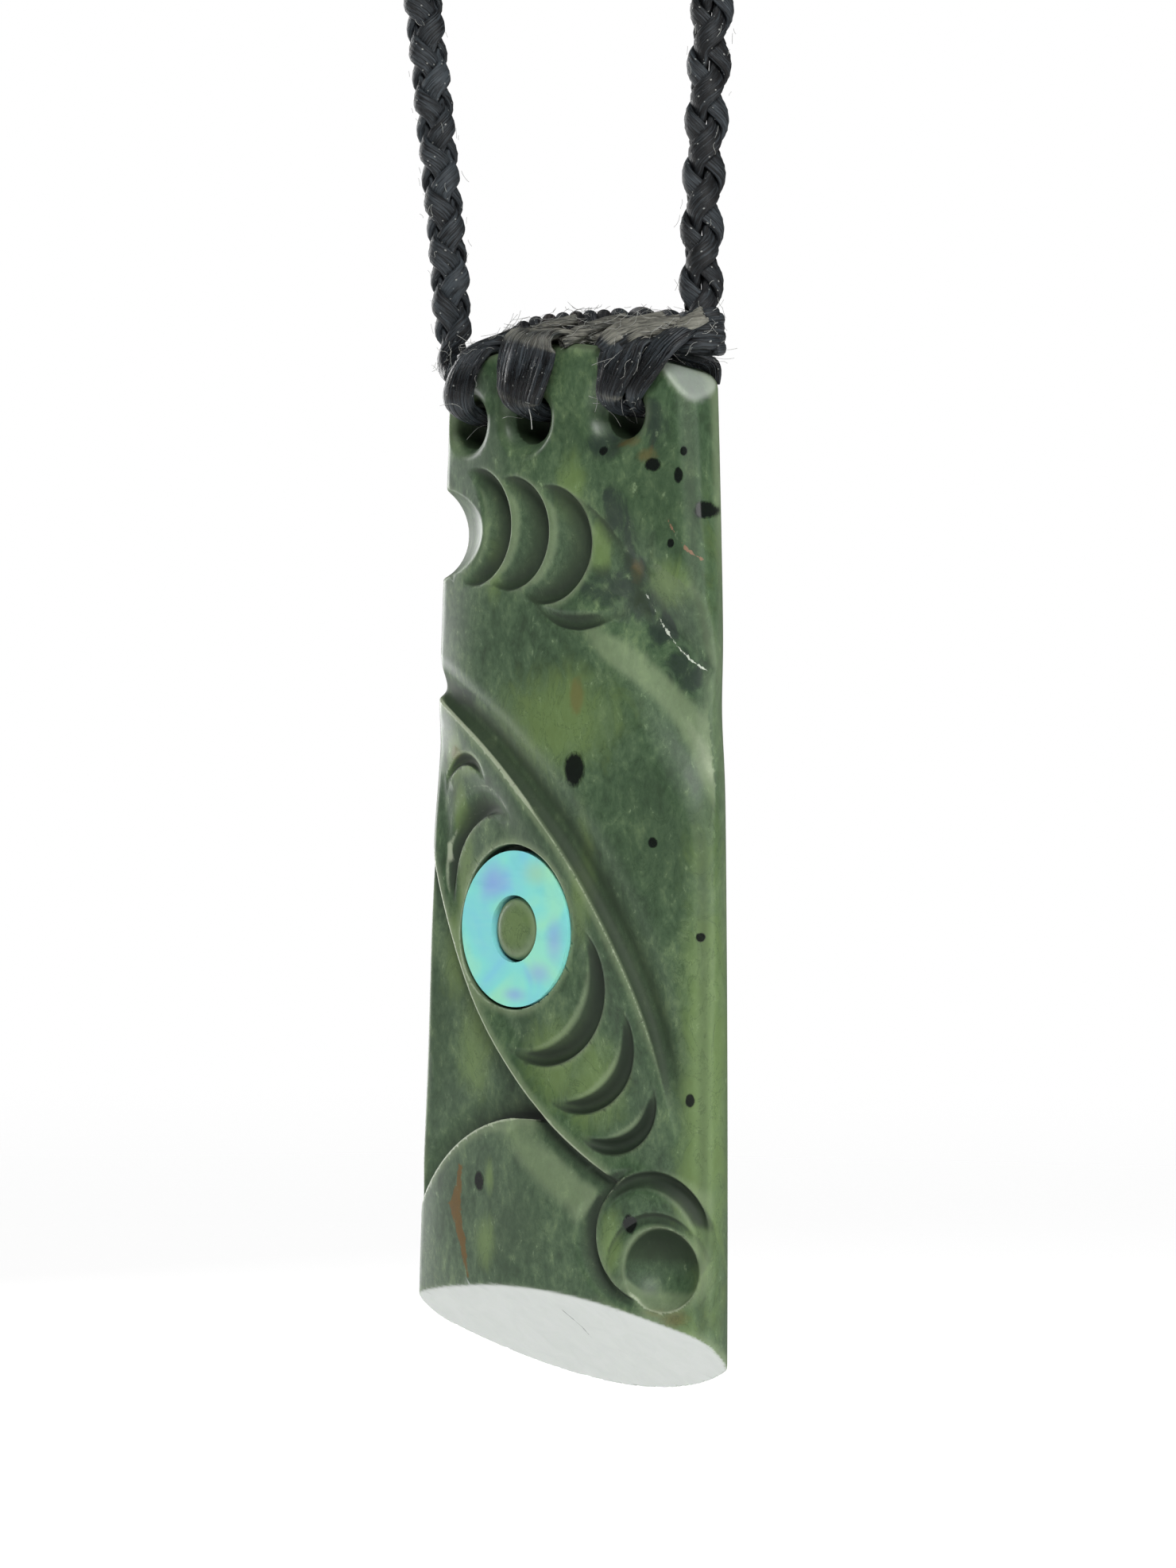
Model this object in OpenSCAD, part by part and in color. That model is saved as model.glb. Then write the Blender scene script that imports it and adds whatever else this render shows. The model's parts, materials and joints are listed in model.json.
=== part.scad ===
// Adze pendant of carved nephrite on a braided neck cord.
// The front faces -Y and the pendant hangs down -Z. The origin is under the cord at the nape.
// Places on the carved face are given as [across, up]: across from the middle line, up from the
// cutting edge, in millimetres measured over the curved face.

/* [Adze] */
// Length from the top to the cutting edge
adze_length = 67; // [60:1:75]
// Width at the cutting edge
edge_width = 25.6; // [25.2:0.1:26.6]
// Width at the top
top_width = 20.6; // [20.2:0.1:21.4]
// Rise of the front face over the plane through the two side edges
front_rise = 3.1; // [2.8:0.1:3.4]
// Radius of the front face, seen from above
front_radius = 42; // [40:1:50]
// Depth of the back face at the cutting edge, behind the same plane
back_depth = 5.8; // [5.4:0.1:6.4]
// Depth of the back face at the top
back_depth_top = 4.6; // [4.2:0.1:5.2]
// Radius of the back face, seen from above
back_radius = 20.2; // [19:0.1:24]
// Height of the ground bevel at the middle of the front
bevel_height = 7; // [6:0.1:8]
// Radius of the rounded right corner of the cutting edge
corner_radius = 3.6; // [3:0.1:4.5]
// Radius of the arched top, seen from the front
top_arch_radius = 32; // [28:1:60]
// Fall of the top from front to back, in degrees
top_fall = 5; // [0:1:8]

/* [Holes] */
// Radius of the three drilled holes
hole_radius = 1.55; // [1.5:0.05:1.6]
// Height of the hole centres above the cutting edge
hole_height = 62.2; // [62:0.1:62.5]
// Depth of each countersink
countersink_depth = 0.9; // [0.6:0.1:1.1]

/* [Eye] */
// Outer radius of the shell ring
ring_radius = 5.0; // [4.8:0.1:5.1]
// Radius of the hole in the shell ring
ring_hole_radius = 2.15; // [2.1:0.05:2.3]
// Thickness of the shell ring
ring_thickness = 1.0; // [0.8:0.1:1.2]
// Play between the shell ring and the stone round it
ring_play = 0.15; // [0.12:0.01:0.2]

/* [Carving] */
// Depth of the deep crescents at their outer wall
crescent_depth = 1.1; // [0.7:0.1:1.3]
// Depth of the long brow groove at its wall
brow_depth = 0.75; // [0.5:0.05:0.9]
// Depth of the flat cut beside the eye field
field_step = 1.05; // [0.8:0.05:1.2]

/* [Cord] */
// Diameter of the braided neck cord
braid_diameter = 2.8; // [2.4:0.1:3]
// Diameter of the twisted cord along the top
top_cord_diameter = 1.7; // [1.4:0.1:1.8]
// Length of the wound sleeve at the nape
whipping_length = 8; // [6:1:8]

/* [Hidden] */

jade = "#5a7655";
shell = "#7fdcd4";
cord_black = "#24282a";

// Smoothness of the round cuts
$fn = 96;
// How far a cutter reaches past what it cuts
over = 3;
// Overlap of neighbouring strips of a bent cutter
seam = 0.1;
back_lean = atan((back_depth - back_depth_top) / adze_length);
// The left side is straight. The right side is bowed, and widest a little above the cutting edge.
left_reach = edge_width / 2 + 0.4;
left_reach_top = top_width / 2 - 0.1;
right_reach = edge_width / 2 - 0.4;
right_reach_top = top_width / 2 + 0.1;
widest_at = 14;
bow_run = adze_length - widest_at;
bow_radius = (pow(bow_run, 2) / (right_reach - right_reach_top) + right_reach - right_reach_top) / 2;
left_lean = atan((left_reach - left_reach_top) / adze_length);
// How far each flat along the long edges stands in from the corner it takes off
flat_in = 0.25;
bevel_slope = atan(bevel_height / (front_rise + back_depth));

// Hole centres across the face, and the outer radius of each countersink
holes = [[-8.0, 2.0], [-2.0, 2.3], [5.7, 2.4]];

// Centre of the eye, and how far its shell lies below the face
eye = [-2.8, 29.7];
eye_sink = 0.3;
pocket_play = 0.1;
boss_radius = ring_hole_radius - ring_play;
boss_dome_radius = 5;

// Deep crescents: outer wall centre and radius, inner edge centre and radius, all [across, up]
crescents = [
    [[-7.0, 55.5], 3.8, [-9.9, 55.7], 3.95],
    [[-3.4, 54.95], 3.65, [-7.0, 55.5], 4.05],
    [[-0.05, 54.15], 3.8, [-3.4, 54.95], 3.9],
    [[0.05, 26.1], 5.12, [-2.0, 27.85], 5.57],
    [[3.15, 22.4], 4.27, [1.15, 24.35], 5.19],
    [[5.75, 19.1], 3.38, [4.3, 21.7], 4.71],
    [[-6.4, 35.4], 3.62, [-4.5, 32.4], 4.53],
    [[-6.3, 33.6], 3.75, [-4.5, 32.4], 4.5]
];
// Shallow crescents, in the same columns with the depth last
shallow_crescents = [
    [[2.95, 54.2], 5.5, [2.4, 55.6], 5.9, 0.5],
    [[-8.1, 38.7], 2.32, [-7.9, 37.6], 2.5, 0.5],
    [[-1.8, 48.65], 9.5, [-24.3, 35.5], 34.0, 0.5]
];
// Scoop in the left edge: its innermost point on the face, its radius, and how far it slants to the back
edge_scoop = [-6.5, 55.2];
edge_scoop_radius = 3.2;
edge_scoop_slant = 55;
// Brow groove: the crest it falls from, its fading outer edge, and the run of its steep side
brow_wall = [-29.2, 8.0];
brow_wall_radius = 40.7;
brow_fade = [-22.4, 14.3];
brow_fade_radius = 34.5;
brow_wall_run = 1.6;
// Flat face beside the eye field: how far it stands inside the left side, and how far it sinks there
field_in = 1;
field_sink = 0.05;
// Lower edge of the eye field, and the raised lobe below it
field_edge = [21.45, 45.2];
field_edge_radius = 34.5;
lobe = [-0.7, 4.0];
lobe_radius = 13.8;
// Groove between the eye field and the lobe
field_groove_width = 2.2;
field_groove_depth = 0.8;
field_groove_wall_run = 0.3;
// Circle that the groove keeps inside, so that it ends short of the left edge
groove_reach = [7.3, 10.0];
groove_reach_radius = 10.2;
// Curl at the end of the eye field, and the round hollow in it
curl = [8.85, 10.9];
curl_radius = 4.1;
curl_inner = [9.15, 10.1];
curl_inner_radius = 3.45;
curl_depth = 0.8;
curl_hollow = [9.85, 9.1];
curl_hollow_rim = 2.7;
curl_hollow_radius = 2.9;
// Slanting valley that runs out over the right edge: two points of its middle line with its half width
// at each, and its radius
valley_from = [5.9, 53.6, 1.4];
valley_to = [13.0, 43.0, 3.1];
valley_radius = 5.5;
// Height of the lowest point of the rounded corner of the cutting edge
corner_rise = 1.3;
// Ground facet on the top right corner: a point of it, and how it leans, all [across, back, up]
corner_facet = [9.9, -1.2, 64.1];
corner_facet_leans = [0.8, -0.2, 0.57];

// Neck cord, one half as [across, height above the cutting edge], from the stone to the nape.
// The two halves leave the stone at different angles and are alike further up.
left_route = [[-10.9, 66.5], [-11.4, 73], [-12.2, 79], [-13.7, 90], [-16, 104], [-20, 122], [-26, 144],
              [-33, 168], [-40, 194], [-47, 220], [-53, 246], [-56.5, 270], [-57, 288], [-54, 305],
              [-47, 321], [-36, 335], [-21, 345], [-12, 348.4], [-4.5, 350], [-0.15, 350.1]];
right_route = [[10.7, 66.4], [10.9, 73], [11.1, 79], [11.6, 90], [13.6, 104], [18, 122], [25, 144],
               [33, 168], [40, 194], [47, 220], [53, 246], [56.5, 270], [57, 288], [54, 305],
               [47, 321], [36, 335], [21, 345], [12, 348.4], [4.5, 350], [0.15, 350.1]];
braid_sides = 8;
braid_rings = 39;

// Lashing routes, a row for each point: [across, forward, up, width, thickness]
hole_mid = -0.75;
lashing_gap = 0.15;
in_hole = 62.75;
start_points = [
    [-10.4, -2.3, 66.6, 1.5, 1], [-9.9, -2.85, 65.9, 1.6, 0.9], [-9.3, -3.15, 65.1, 1.7, 0.9],
    [-8.7, -3.5, 64.2, 1.8, 0.9], [-8.2, -3.75, 63.4, 1.8, 0.9], [-8, -3.2, 62.9, 1.9, 1.1],
    [-8, -2.4, in_hole, 1.9, 1.2], [-8, hole_mid - lashing_gap, in_hole, 1.9, 1.2]];
left_points = [
    [-8, hole_mid + lashing_gap, in_hole, 1.9, 1.2], [-8, 1.2, in_hole, 1.9, 1.2],
    [-7.95, 2.2, 62.9, 2.2, 1.1], [-7.8, 2.95, 63.35, 2.6, 0.9], [-7.4, 3, 64.1, 3, 0.8],
    [-7.1, 3.05, 65.3, 3.1, 0.8], [-7, 3, 66.4, 3, 0.7], [-6.85, 2.9, 66.75, 2.9, 0.7],
    [-6.7, 2.55, 66.95, 2.8, 0.7], [-6.3, 1, 66.8, 2.6, 0.5], [-5.5, -1, 66.75, 2.4, 0.5],
    [-4.6, -2.6, 66.75, 2.3, 0.5], [-3.9, -4.25, 66.8, 2.5, 0.6], [-3.6, -4.7, 66.65, 2.4, 0.6],
    [-3.3, -4.9, 66.25, 2.3, 0.6], [-2.8, -5.1, 65.3, 2.6, 0.8], [-2.3, -5.15, 64.1, 2.5, 0.8],
    [-2, -5.25, 63.3, 2.2, 0.9], [-2, -4.2, 62.9, 2, 1.1], [-2, -3.2, in_hole, 1.9, 1.2],
    [-2, hole_mid - lashing_gap, in_hole, 1.9, 1.2]];
middle_points = [
    [-2, hole_mid + lashing_gap, in_hole, 2.4, 1.2], [-2, 2, in_hole, 2.4, 1.2],
    [-1.9, 2.9, 62.9, 2.8, 1.1], [-1.7, 3.65, 63.35, 3.5, 0.9], [-1.2, 3.65, 64.1, 4.6, 0.8],
    [-1, 3.65, 65.4, 5.1, 0.8], [-0.8, 3.6, 67, 5, 0.7], [-0.6, 3.45, 67.35, 4.9, 0.7],
    [-0.4, 3.1, 67.5, 4.8, 0.7], [0.4, 1.2, 67.3, 3.9, 0.6], [1.5, -0.8, 67.05, 3.3, 0.6],
    [2.7, -2.5, 66.8, 3, 0.6], [3.6, -4.3, 66.55, 2.8, 0.6], [3.95, -4.6, 66.35, 2.7, 0.6],
    [4.3, -4.7, 65.9, 2.6, 0.6], [5, -4.65, 65.1, 2.8, 0.8], [5.5, -4.55, 64.1, 2.6, 0.8],
    [5.7, -4.55, 63.3, 2.2, 0.9], [5.7, -3.7, 62.9, 2, 1.1], [5.7, -2.8, in_hole, 1.9, 1.2],
    [5.7, hole_mid - lashing_gap, in_hole, 1.9, 1.2]];
right_points = [
    [5.1, hole_mid + lashing_gap, in_hole, 1.5, 1.2], [5.1, 1.7, in_hole, 1.5, 1.2],
    [5.15, 2.6, 62.9, 1.6, 1.1], [5.4, 3.35, 63.35, 2, 0.9], [5.85, 3.25, 64.1, 2.8, 0.8],
    [6.2, 3.25, 65.2, 3.2, 0.8], [6.45, 3.2, 66.1, 3.3, 0.7], [6.65, 3, 66.5, 3.2, 0.7],
    [6.85, 2.6, 66.6, 3.1, 0.7], [7.4, 0.9, 66.35, 2.8, 0.6], [7.9, -0.8, 66.05, 2.5, 0.6],
    [8.25, -2, 65.85, 2.2, 0.6], [8.4, -2.9, 65.75, 2, 0.6], [8.55, -3.3, 65.5, 1.9, 0.6],
    [8.7, -3.35, 65, 1.8, 0.6], [8.75, -3.3, 64.1, 1.3, 0.5]];
end_points = [
    [6.45, hole_mid + lashing_gap, in_hole, 0.8, 1.1], [6.45, 1.5, in_hole, 0.8, 1.1],
    [6.7, 2.4, 62.95, 0.9, 1], [7.65, 3.15, 63.45, 1, 1], [8.35, 3, 64.2, 1.2, 1],
    [8.9, 2.8, 65.2, 1.4, 1], [9.3, 2.7, 66, 1.4, 1], [9.75, 2.2, 66.8, 1.4, 1]];
lashing_sides = 10;
// Middle of the twisted cord along the top, as [across, up], and how far back it lies
top_cord_route = [[-8.9, 66.9], [-7.2, 67.6], [-5.4, 68.2], [-2.5, 68.45], [0.5, 68.6], [3.5, 68.6],
                  [6.3, 68.3], [8.9, 67.8]];
top_cord_back = 1.1;
top_cord_rings = 12;
whipping_wall = 0.55;
whipping_play = 0.15;
whipping_radius = braid_diameter / 2 + whipping_play + whipping_wall;
// Height of the origin above the cutting edge
nape_up = left_route[len(left_route) - 1][1] - whipping_radius;

// Point on a smooth curve through four neighbours, t from 0 to 1 between the middle two
function between(a, b, c, d, t) =
    0.5 * (2 * b + (c - a) * t + (2 * a - 5 * b + 4 * c - d) * t * t + (3 * b - a - 3 * c + d) * t * t * t);

// Point of a route at u, counted in stretches from its first point
function on_route(route, u) =
    let (last = len(route) - 1, i = min(floor(u), last - 1))
    between(route[max(i - 1, 0)], route[i], route[i + 1], route[min(i + 2, last)], u - i);
function unit(v) = v / norm(v);

// Direction across a bundle: as near to the row of holes as its run allows
function across_run(along) = unit([1, 0, 0] - along[0] * along);

// How far forward the front face stands, and how far back the back face, at a place across them
function front_at(across) = front_rise - front_radius + sqrt(pow(front_radius, 2) - pow(across, 2));
function back_at(across, up) =
    back_depth + (back_depth_top - back_depth) * up / adze_length
    - back_radius + sqrt(pow(back_radius, 2) - pow(across, 2));

// Closed tube through rings of equally many points
module skin(rings) {
    sides = len(rings[0]);
    count = len(rings);
    points = [for (ring = rings) each ring];
    walls = [for (k = [0:count - 2], s = [0:sides - 1])
        let (t = (s + 1) % sides)
        each [[k * sides + s, (k + 1) * sides + t, k * sides + t],
              [k * sides + s, (k + 1) * sides + s, (k + 1) * sides + t]]];
    first_cap = [[for (s = [0:sides - 1]) s]];
    last_cap = [[for (s = [sides - 1:-1:0]) (count - 1) * sides + s]];
    polyhedron(points, concat(walls, first_cap, last_cap));
}

// Ring of a flat bundle round centre c, running along v
function bundle_ring(c, v, width, thickness, sides) =
    let (side = across_run(v), out = cross(v, side))
    [for (s = [0:sides - 1]) let (a = 360 * s / sides)
        c + side * cos(a) * width / 2 + out * sin(a) * thickness / 2];

// Flat bundle of fibres along rows of [across, forward, up, width, thickness]
module bundle(rows) {
    path = [for (row = rows) [row[0], -row[1], row[2]]];
    end = len(path) - 1;
    rings = [for (k = [0:end])
        let (ahead = unit(path[min(k + 1, end)] - path[min(k, end - 1)]),
             behind = unit(path[max(k, 1)] - path[max(k - 1, 0)]))
        bundle_ring(path[k], unit(ahead + behind), rows[k][3], rows[k][4], lashing_sides)];
    skin(rings);
}

// Round cord in the plane of the loop, through points [across, up]
module cord(route, rings_wanted, radius) {
    last = len(route) - 1;
    path = [for (k = [0:rings_wanted - 1]) let (p = on_route(route, last * k / (rings_wanted - 1)))
        [p[0], 0, p[1]]];
    end = len(path) - 1;
    rings = [for (k = [0:end])
        let (v = unit(path[min(k + 1, end)] - path[max(k - 1, 0)]), out = cross(v, [0, 1, 0]))
        [for (s = [0:braid_sides - 1]) let (a = 360 * s / braid_sides)
            path[k] + [0, 1, 0] * cos(a) * radius + out * sin(a) * radius]];
    skin(rings);
}

// Puts children on the front face at [across, up]: their +Z stands out of the face, +Y is up
module on_front(place) {
    translate([0, front_radius - front_rise, place[1]])
        rotate([0, 0, place[0] / front_radius * 180 / PI])
            translate([0, -front_radius, 0])
                rotate([90, 0, 0])
                    children();
}

// Bends a flat cutter round the front face, in strips. The cutter is drawn over [across, up].
module wrapped(from, to, strips) {
    step = (to - from) / strips;
    for (i = [0:strips - 1]) {
        middle = from + (i + 0.5) * step;
        on_front([middle, 0])
            intersection() {
                translate([-middle, 0, 0])
                    children();
                translate([-step / 2 - seam, 0, -over])
                    cube([step + 2 * seam, adze_length, 2 * over]);
            }
    }
}

// Crescent cut: a square outer wall, and a floor that rises to the inner edge
module crescent(wall_at, wall_radius, inner_at, inner_radius, depth) {
    run = (norm(wall_at - inner_at) + wall_radius - inner_radius) / depth;
    on_front(wall_at)
        difference() {
            translate([0, 0, -over])
                cylinder(h = 2 * over, r = wall_radius);
            translate([inner_at[0] - wall_at[0], inner_at[1] - wall_at[1], -over - 1])
                cylinder(h = over + 2.2, r1 = inner_radius + (over + 1) * run, r2 = inner_radius - 1.2 * run);
        }
}

// Groove drawn flat over [across, up]: a steep side round the wall's centre, and a floor that rises
// away from it
module groove(wall_at, wall_radius, fade_at, fade_radius, depth, wall_run) {
    run = (norm(wall_at - fade_at) + fade_radius - wall_radius) / depth - wall_run;
    difference() {
        translate([fade_at[0], fade_at[1], -over])
            cylinder(h = over + 1, r1 = fade_radius - over * run, r2 = fade_radius + run);
        translate([wall_at[0], wall_at[1], -over - 1])
            cylinder(h = over + 2, r1 = wall_radius + (over + 1) * wall_run, r2 = wall_radius - wall_run);
    }
}

// Stone before carving: curved front and back, straight left side, bowed right side
module blank() {
    intersection() {
        translate([0, front_radius - front_rise, 0])
            cylinder(h = adze_length, r = front_radius, $fn = 240);
        translate([0, back_depth - back_radius, 0])
            rotate([back_lean, 0, 0])
                translate([0, 0, -over])
                    cylinder(h = adze_length + 2 * over, r = back_radius, $fn = 160);
        left_side(front_at(left_reach), front_at(left_reach_top));
        right_side(front_at(right_reach), front_at(right_reach_top));
        mirror([0, 1, 0]) {
            left_side(back_at(left_reach, 0), back_at(left_reach_top, adze_length));
            right_side(back_at(right_reach, 0), back_at(right_reach_top, adze_length));
        }
    }
}

// Everything inside the left side and the flat along its front edge, which stands this far forward at
// the cutting edge and at the top
module left_side(forward, forward_top) {
    translate([-left_reach, 0, 0])
        rotate([atan((forward_top - forward) / adze_length), left_lean, 0])
            translate([0, 0, -2 * over])
                linear_extrude(height = adze_length + 4 * over)
                    polygon([[0, edge_width], [0, flat_in - forward], [edge_width, flat_in - forward - edge_width],
                             [2 * edge_width, flat_in - forward - edge_width], [2 * edge_width, edge_width]]);
}

// The same for the bowed right side, as the rim of a large wheel
module right_side(forward, forward_top) {
    translate([right_reach - bow_radius, 0, widest_at])
        rotate([90 + atan((forward_top - forward) / bow_run), 0, 0])
            rotate_extrude($fn = 1440)
                polygon([[0, -edge_width], [bow_radius, -edge_width], [bow_radius, forward - flat_in],
                         [bow_radius - edge_width, forward - flat_in + edge_width],
                         [0, forward - flat_in + edge_width]]);
}

// Arched top, falling to the back
module top_cut() {
    translate([-1, -front_rise, adze_length])
        rotate([-top_fall, 0, 0])
            difference() {
                translate([-edge_width, -over, -6])
                    cube([2 * edge_width, edge_width, 6 + over]);
                translate([0, edge_width, -top_arch_radius])
                    rotate([90, 0, 0])
                        cylinder(h = edge_width + 2 * over, r = top_arch_radius, $fn = 240);
            }
}

// Bevel ground on the front, which leaves the cutting edge at the back
module bevel_cut() {
    translate([0, back_depth, 0])
        rotate([-bevel_slope, 0, 0])
            translate([-edge_width, -30, -20])
                cube([2 * edge_width, 60, 20]);
}

// Rounding of the right corner of the cutting edge
module corner_cut() {
    middle = [right_reach - corner_radius, corner_radius + corner_rise];
    difference() {
        translate([middle[0], -edge_width / 2, -1])
            cube([corner_radius + over, edge_width, middle[1] + 1]);
        translate([middle[0], edge_width / 2 + 1, middle[1]])
            rotate([90, 0, 0])
                cylinder(h = edge_width + 2, r = corner_radius);
    }
}

// Facet ground on the top right corner of the front
module corner_facet_cut() {
    lean = corner_facet_leans;
    translate(corner_facet)
        rotate([0, acos(lean[2] / norm(lean)), atan2(lean[1], lean[0])])
            translate([-10, -10, 0])
                cube([20, 20, 10]);
}

// Drilled hole with a countersink at the front and at the back
module hole(across, sink_radius) {
    slope = (sink_radius - hole_radius) / countersink_depth;
    translate([across, 0, hole_height]) {
        rotate([90, 0, 0])
            cylinder(h = edge_width, r = hole_radius, center = true);
        translate([0, -front_at(across) + countersink_depth, 0])
            rotate([90, 0, 0])
                cylinder(h = 2, r1 = hole_radius, r2 = hole_radius + 2 * slope);
        translate([0, back_at(across, hole_height) - countersink_depth, 0])
            rotate([-90, 0, 0])
                cylinder(h = 2, r1 = hole_radius, r2 = hole_radius + 2 * slope);
    }
}

// Ring-shaped pocket for the shell, which leaves the domed boss standing in its middle
module eye_pocket() {
    floor = eye_sink + ring_thickness + pocket_play;
    on_front(eye)
        difference() {
            translate([0, 0, -floor])
                cylinder(h = floor + over, r = ring_radius + ring_play);
            intersection() {
                translate([0, 0, -floor - 1])
                    cylinder(h = floor + 2, r = boss_radius);
                translate([0, 0, -boss_dome_radius + pocket_play])
                    sphere(r = boss_dome_radius);
            }
        }
}

// Slanted scoop that bites through the left edge beside the top crescents
module edge_scoop_cut() {
    translate([edge_scoop[0], -front_at(edge_scoop[0]), edge_scoop[1]])
        rotate([0, 0, edge_scoop_slant])
            translate([-edge_scoop_radius, 0, 0])
                rotate([90, 0, 0])
                    cylinder(h = edge_width, r = edge_scoop_radius, center = true);
}

// Flat face cut away beside the eye field, down to the raised lobe
module field_cut() {
    left = -left_reach + field_in;
    fall = atan((front_rise - field_step - front_at(left) + field_sink) / -left);
    difference() {
        translate([left, -front_at(left) + field_sink, 8])
            rotate([0, 0, -fall])
                translate([-4, -6, 0])
                    cube([18, 6, 30]);
        for (round_form = [[field_edge, field_edge_radius], [lobe, lobe_radius]])
            translate([round_form[0][0], over, round_form[0][1]])
                rotate([90, 0, 0])
                    cylinder(h = 12, r = round_form[1], $fn = 240);
    }
}

// Groove between the eye field and the lobe, as far as the curl
module field_groove() {
    wrapped(-4, 6.4, 3)
        difference() {
            intersection() {
                groove(field_edge, field_edge_radius, field_edge, field_edge_radius + field_groove_width,
                       field_groove_depth, field_groove_wall_run, $fn = 240);
                translate([groove_reach[0], groove_reach[1], -over])
                    cylinder(h = 2 * over, r = groove_reach_radius);
            }
            translate([curl[0], curl[1], -over])
                cylinder(h = 2 * over, r = curl_radius);
        }
}

module brow_groove() {
    wrapped(-13, 13, 8)
        groove(brow_wall, brow_wall_radius, brow_fade, brow_fade_radius, brow_depth, brow_wall_run, $fn = 240);
}

module curl_hollow_cut() {
    on_front(curl_hollow)
        translate([0, 0, sqrt(pow(curl_hollow_radius, 2) - pow(curl_hollow_rim, 2))])
            sphere(r = curl_hollow_radius);
}

// Slanting valley that deepens toward the right edge
module valley() {
    from = valley_point(valley_from);
    to = valley_point(valley_to);
    run = to - from;
    translate(from - 0.6 * run)
        rotate([0, acos(run[2] / norm(run)), atan2(run[1], run[0])])
            cylinder(h = 2 * norm(run), r = valley_radius);
}

// Point of the valley cutter's middle line over a place [across, up, half width] on the face
function valley_point(p) =
    [p[0], -front_at(p[0]) - sqrt(pow(valley_radius, 2) - pow(p[2], 2)), p[1]];

module adze() {
    color(jade)
        in_place()
            difference() {
                blank();
                top_cut();
                bevel_cut();
                corner_cut();
                corner_facet_cut();
                edge_scoop_cut();
                field_cut();
                field_groove();
                brow_groove();
                valley();
                for (row = crescents)
                    crescent(row[0], row[1], row[2], row[3], crescent_depth);
                for (row = shallow_crescents)
                    crescent(row[0], row[1], row[2], row[3], row[4]);
                crescent(curl, curl_radius, curl_inner, curl_inner_radius, curl_depth);
                curl_hollow_cut();
                eye_pocket();
                for (row = holes)
                    hole(row[0], row[1]);
            }
}

// Moves a piece drawn from the cutting edge up to its place under the nape
module in_place() {
    translate([0, 0, -nape_up])
        children();
}

module shell_ring() {
    color(shell)
        in_place()
            on_front(eye)
                translate([0, 0, -eye_sink - ring_thickness])
                    difference() {
                        cylinder(h = ring_thickness, r = ring_radius);
                        translate([0, 0, -1])
                            cylinder(h = ring_thickness + 2, r = ring_hole_radius);
                    }
}

module lashing(rows) {
    color(cord_black)
        in_place()
            bundle(rows);
}

// Twisted cord along the top, on the lashing
module top_cord() {
    color(cord_black)
        in_place()
            translate([0, top_cord_back, 0])
                cord(top_cord_route, top_cord_rings, top_cord_diameter / 2);
}

module neck_half(route) {
    color(cord_black)
        in_place()
            cord(route, braid_rings, braid_diameter / 2);
}

// Wound sleeve over the two cord ends at the nape
module nape_whipping() {
    color(cord_black)
        translate([0, 0, whipping_radius])
            rotate([0, 90, 0])
                difference() {
                    cylinder(h = whipping_length, r = whipping_radius, center = true);
                    cylinder(h = whipping_length + 2, r = whipping_radius - whipping_wall, center = true);
                }
}

adze();
shell_ring();
lashing(start_points);  // lashing_start
lashing(left_points);  // lashing_left
lashing(middle_points);  // lashing_middle
lashing(right_points);  // lashing_right
lashing(end_points);  // lashing_end
top_cord();
neck_half(left_route);  // braid_left
neck_half(right_route);  // braid_right
nape_whipping();
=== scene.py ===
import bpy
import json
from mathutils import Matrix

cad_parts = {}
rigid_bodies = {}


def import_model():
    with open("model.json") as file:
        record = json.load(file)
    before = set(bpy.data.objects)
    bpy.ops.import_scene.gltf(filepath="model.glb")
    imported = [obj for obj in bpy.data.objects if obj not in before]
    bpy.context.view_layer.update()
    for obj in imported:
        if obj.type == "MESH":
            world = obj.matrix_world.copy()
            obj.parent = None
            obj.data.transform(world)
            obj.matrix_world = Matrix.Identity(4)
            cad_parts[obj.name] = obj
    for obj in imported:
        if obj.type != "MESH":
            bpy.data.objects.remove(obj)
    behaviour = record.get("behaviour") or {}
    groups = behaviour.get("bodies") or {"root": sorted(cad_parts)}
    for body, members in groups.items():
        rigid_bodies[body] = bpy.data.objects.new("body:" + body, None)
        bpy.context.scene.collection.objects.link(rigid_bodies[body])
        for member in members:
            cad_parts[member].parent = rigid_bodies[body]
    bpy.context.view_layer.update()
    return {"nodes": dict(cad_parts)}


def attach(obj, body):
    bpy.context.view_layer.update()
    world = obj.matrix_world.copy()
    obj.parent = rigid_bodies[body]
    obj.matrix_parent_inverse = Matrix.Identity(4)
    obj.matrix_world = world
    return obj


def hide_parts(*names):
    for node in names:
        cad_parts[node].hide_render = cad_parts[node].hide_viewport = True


bl_info = {
    "name": "Adze pendant on a braided cord",
    "version": (1, 0, 0),
    "blender": (4, 5, 0),
    "location": "View3D > Sidebar > Pendant",
    "description": "Carves the stone, polishes the shell, ties the lashing and plaits the neck cord of the pendant",
    "category": "Add Mesh",
}

import json
import math

import bpy
import numpy as np
import openvdb
from bpy.props import FloatProperty, FloatVectorProperty, IntProperty, PointerProperty
from mathutils import Matrix, Vector

for leftover in list(bpy.data.objects):
    bpy.data.objects.remove(leftover)
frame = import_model()

# Millimetre in metres, and the height of the origin above the cutting edge in millimetres
MM = 0.001
NAPE_UP = 348.0

# The photo is taken from this far to the right of the front, with the camera rolled a little
PHOTO_TURN, CAMERA_ROLL = math.radians(43), math.radians(0.65)
# How far the camera stands away, the height above the cutting edge that it looks at, and how far aside, in millimetres
CAMERA_AWAY, AIM_UP, AIM_ASIDE = 276.0, 39.0, 0.75
FOCAL_LENGTH, FILM_HEIGHT = 66.14, 24.0

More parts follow.
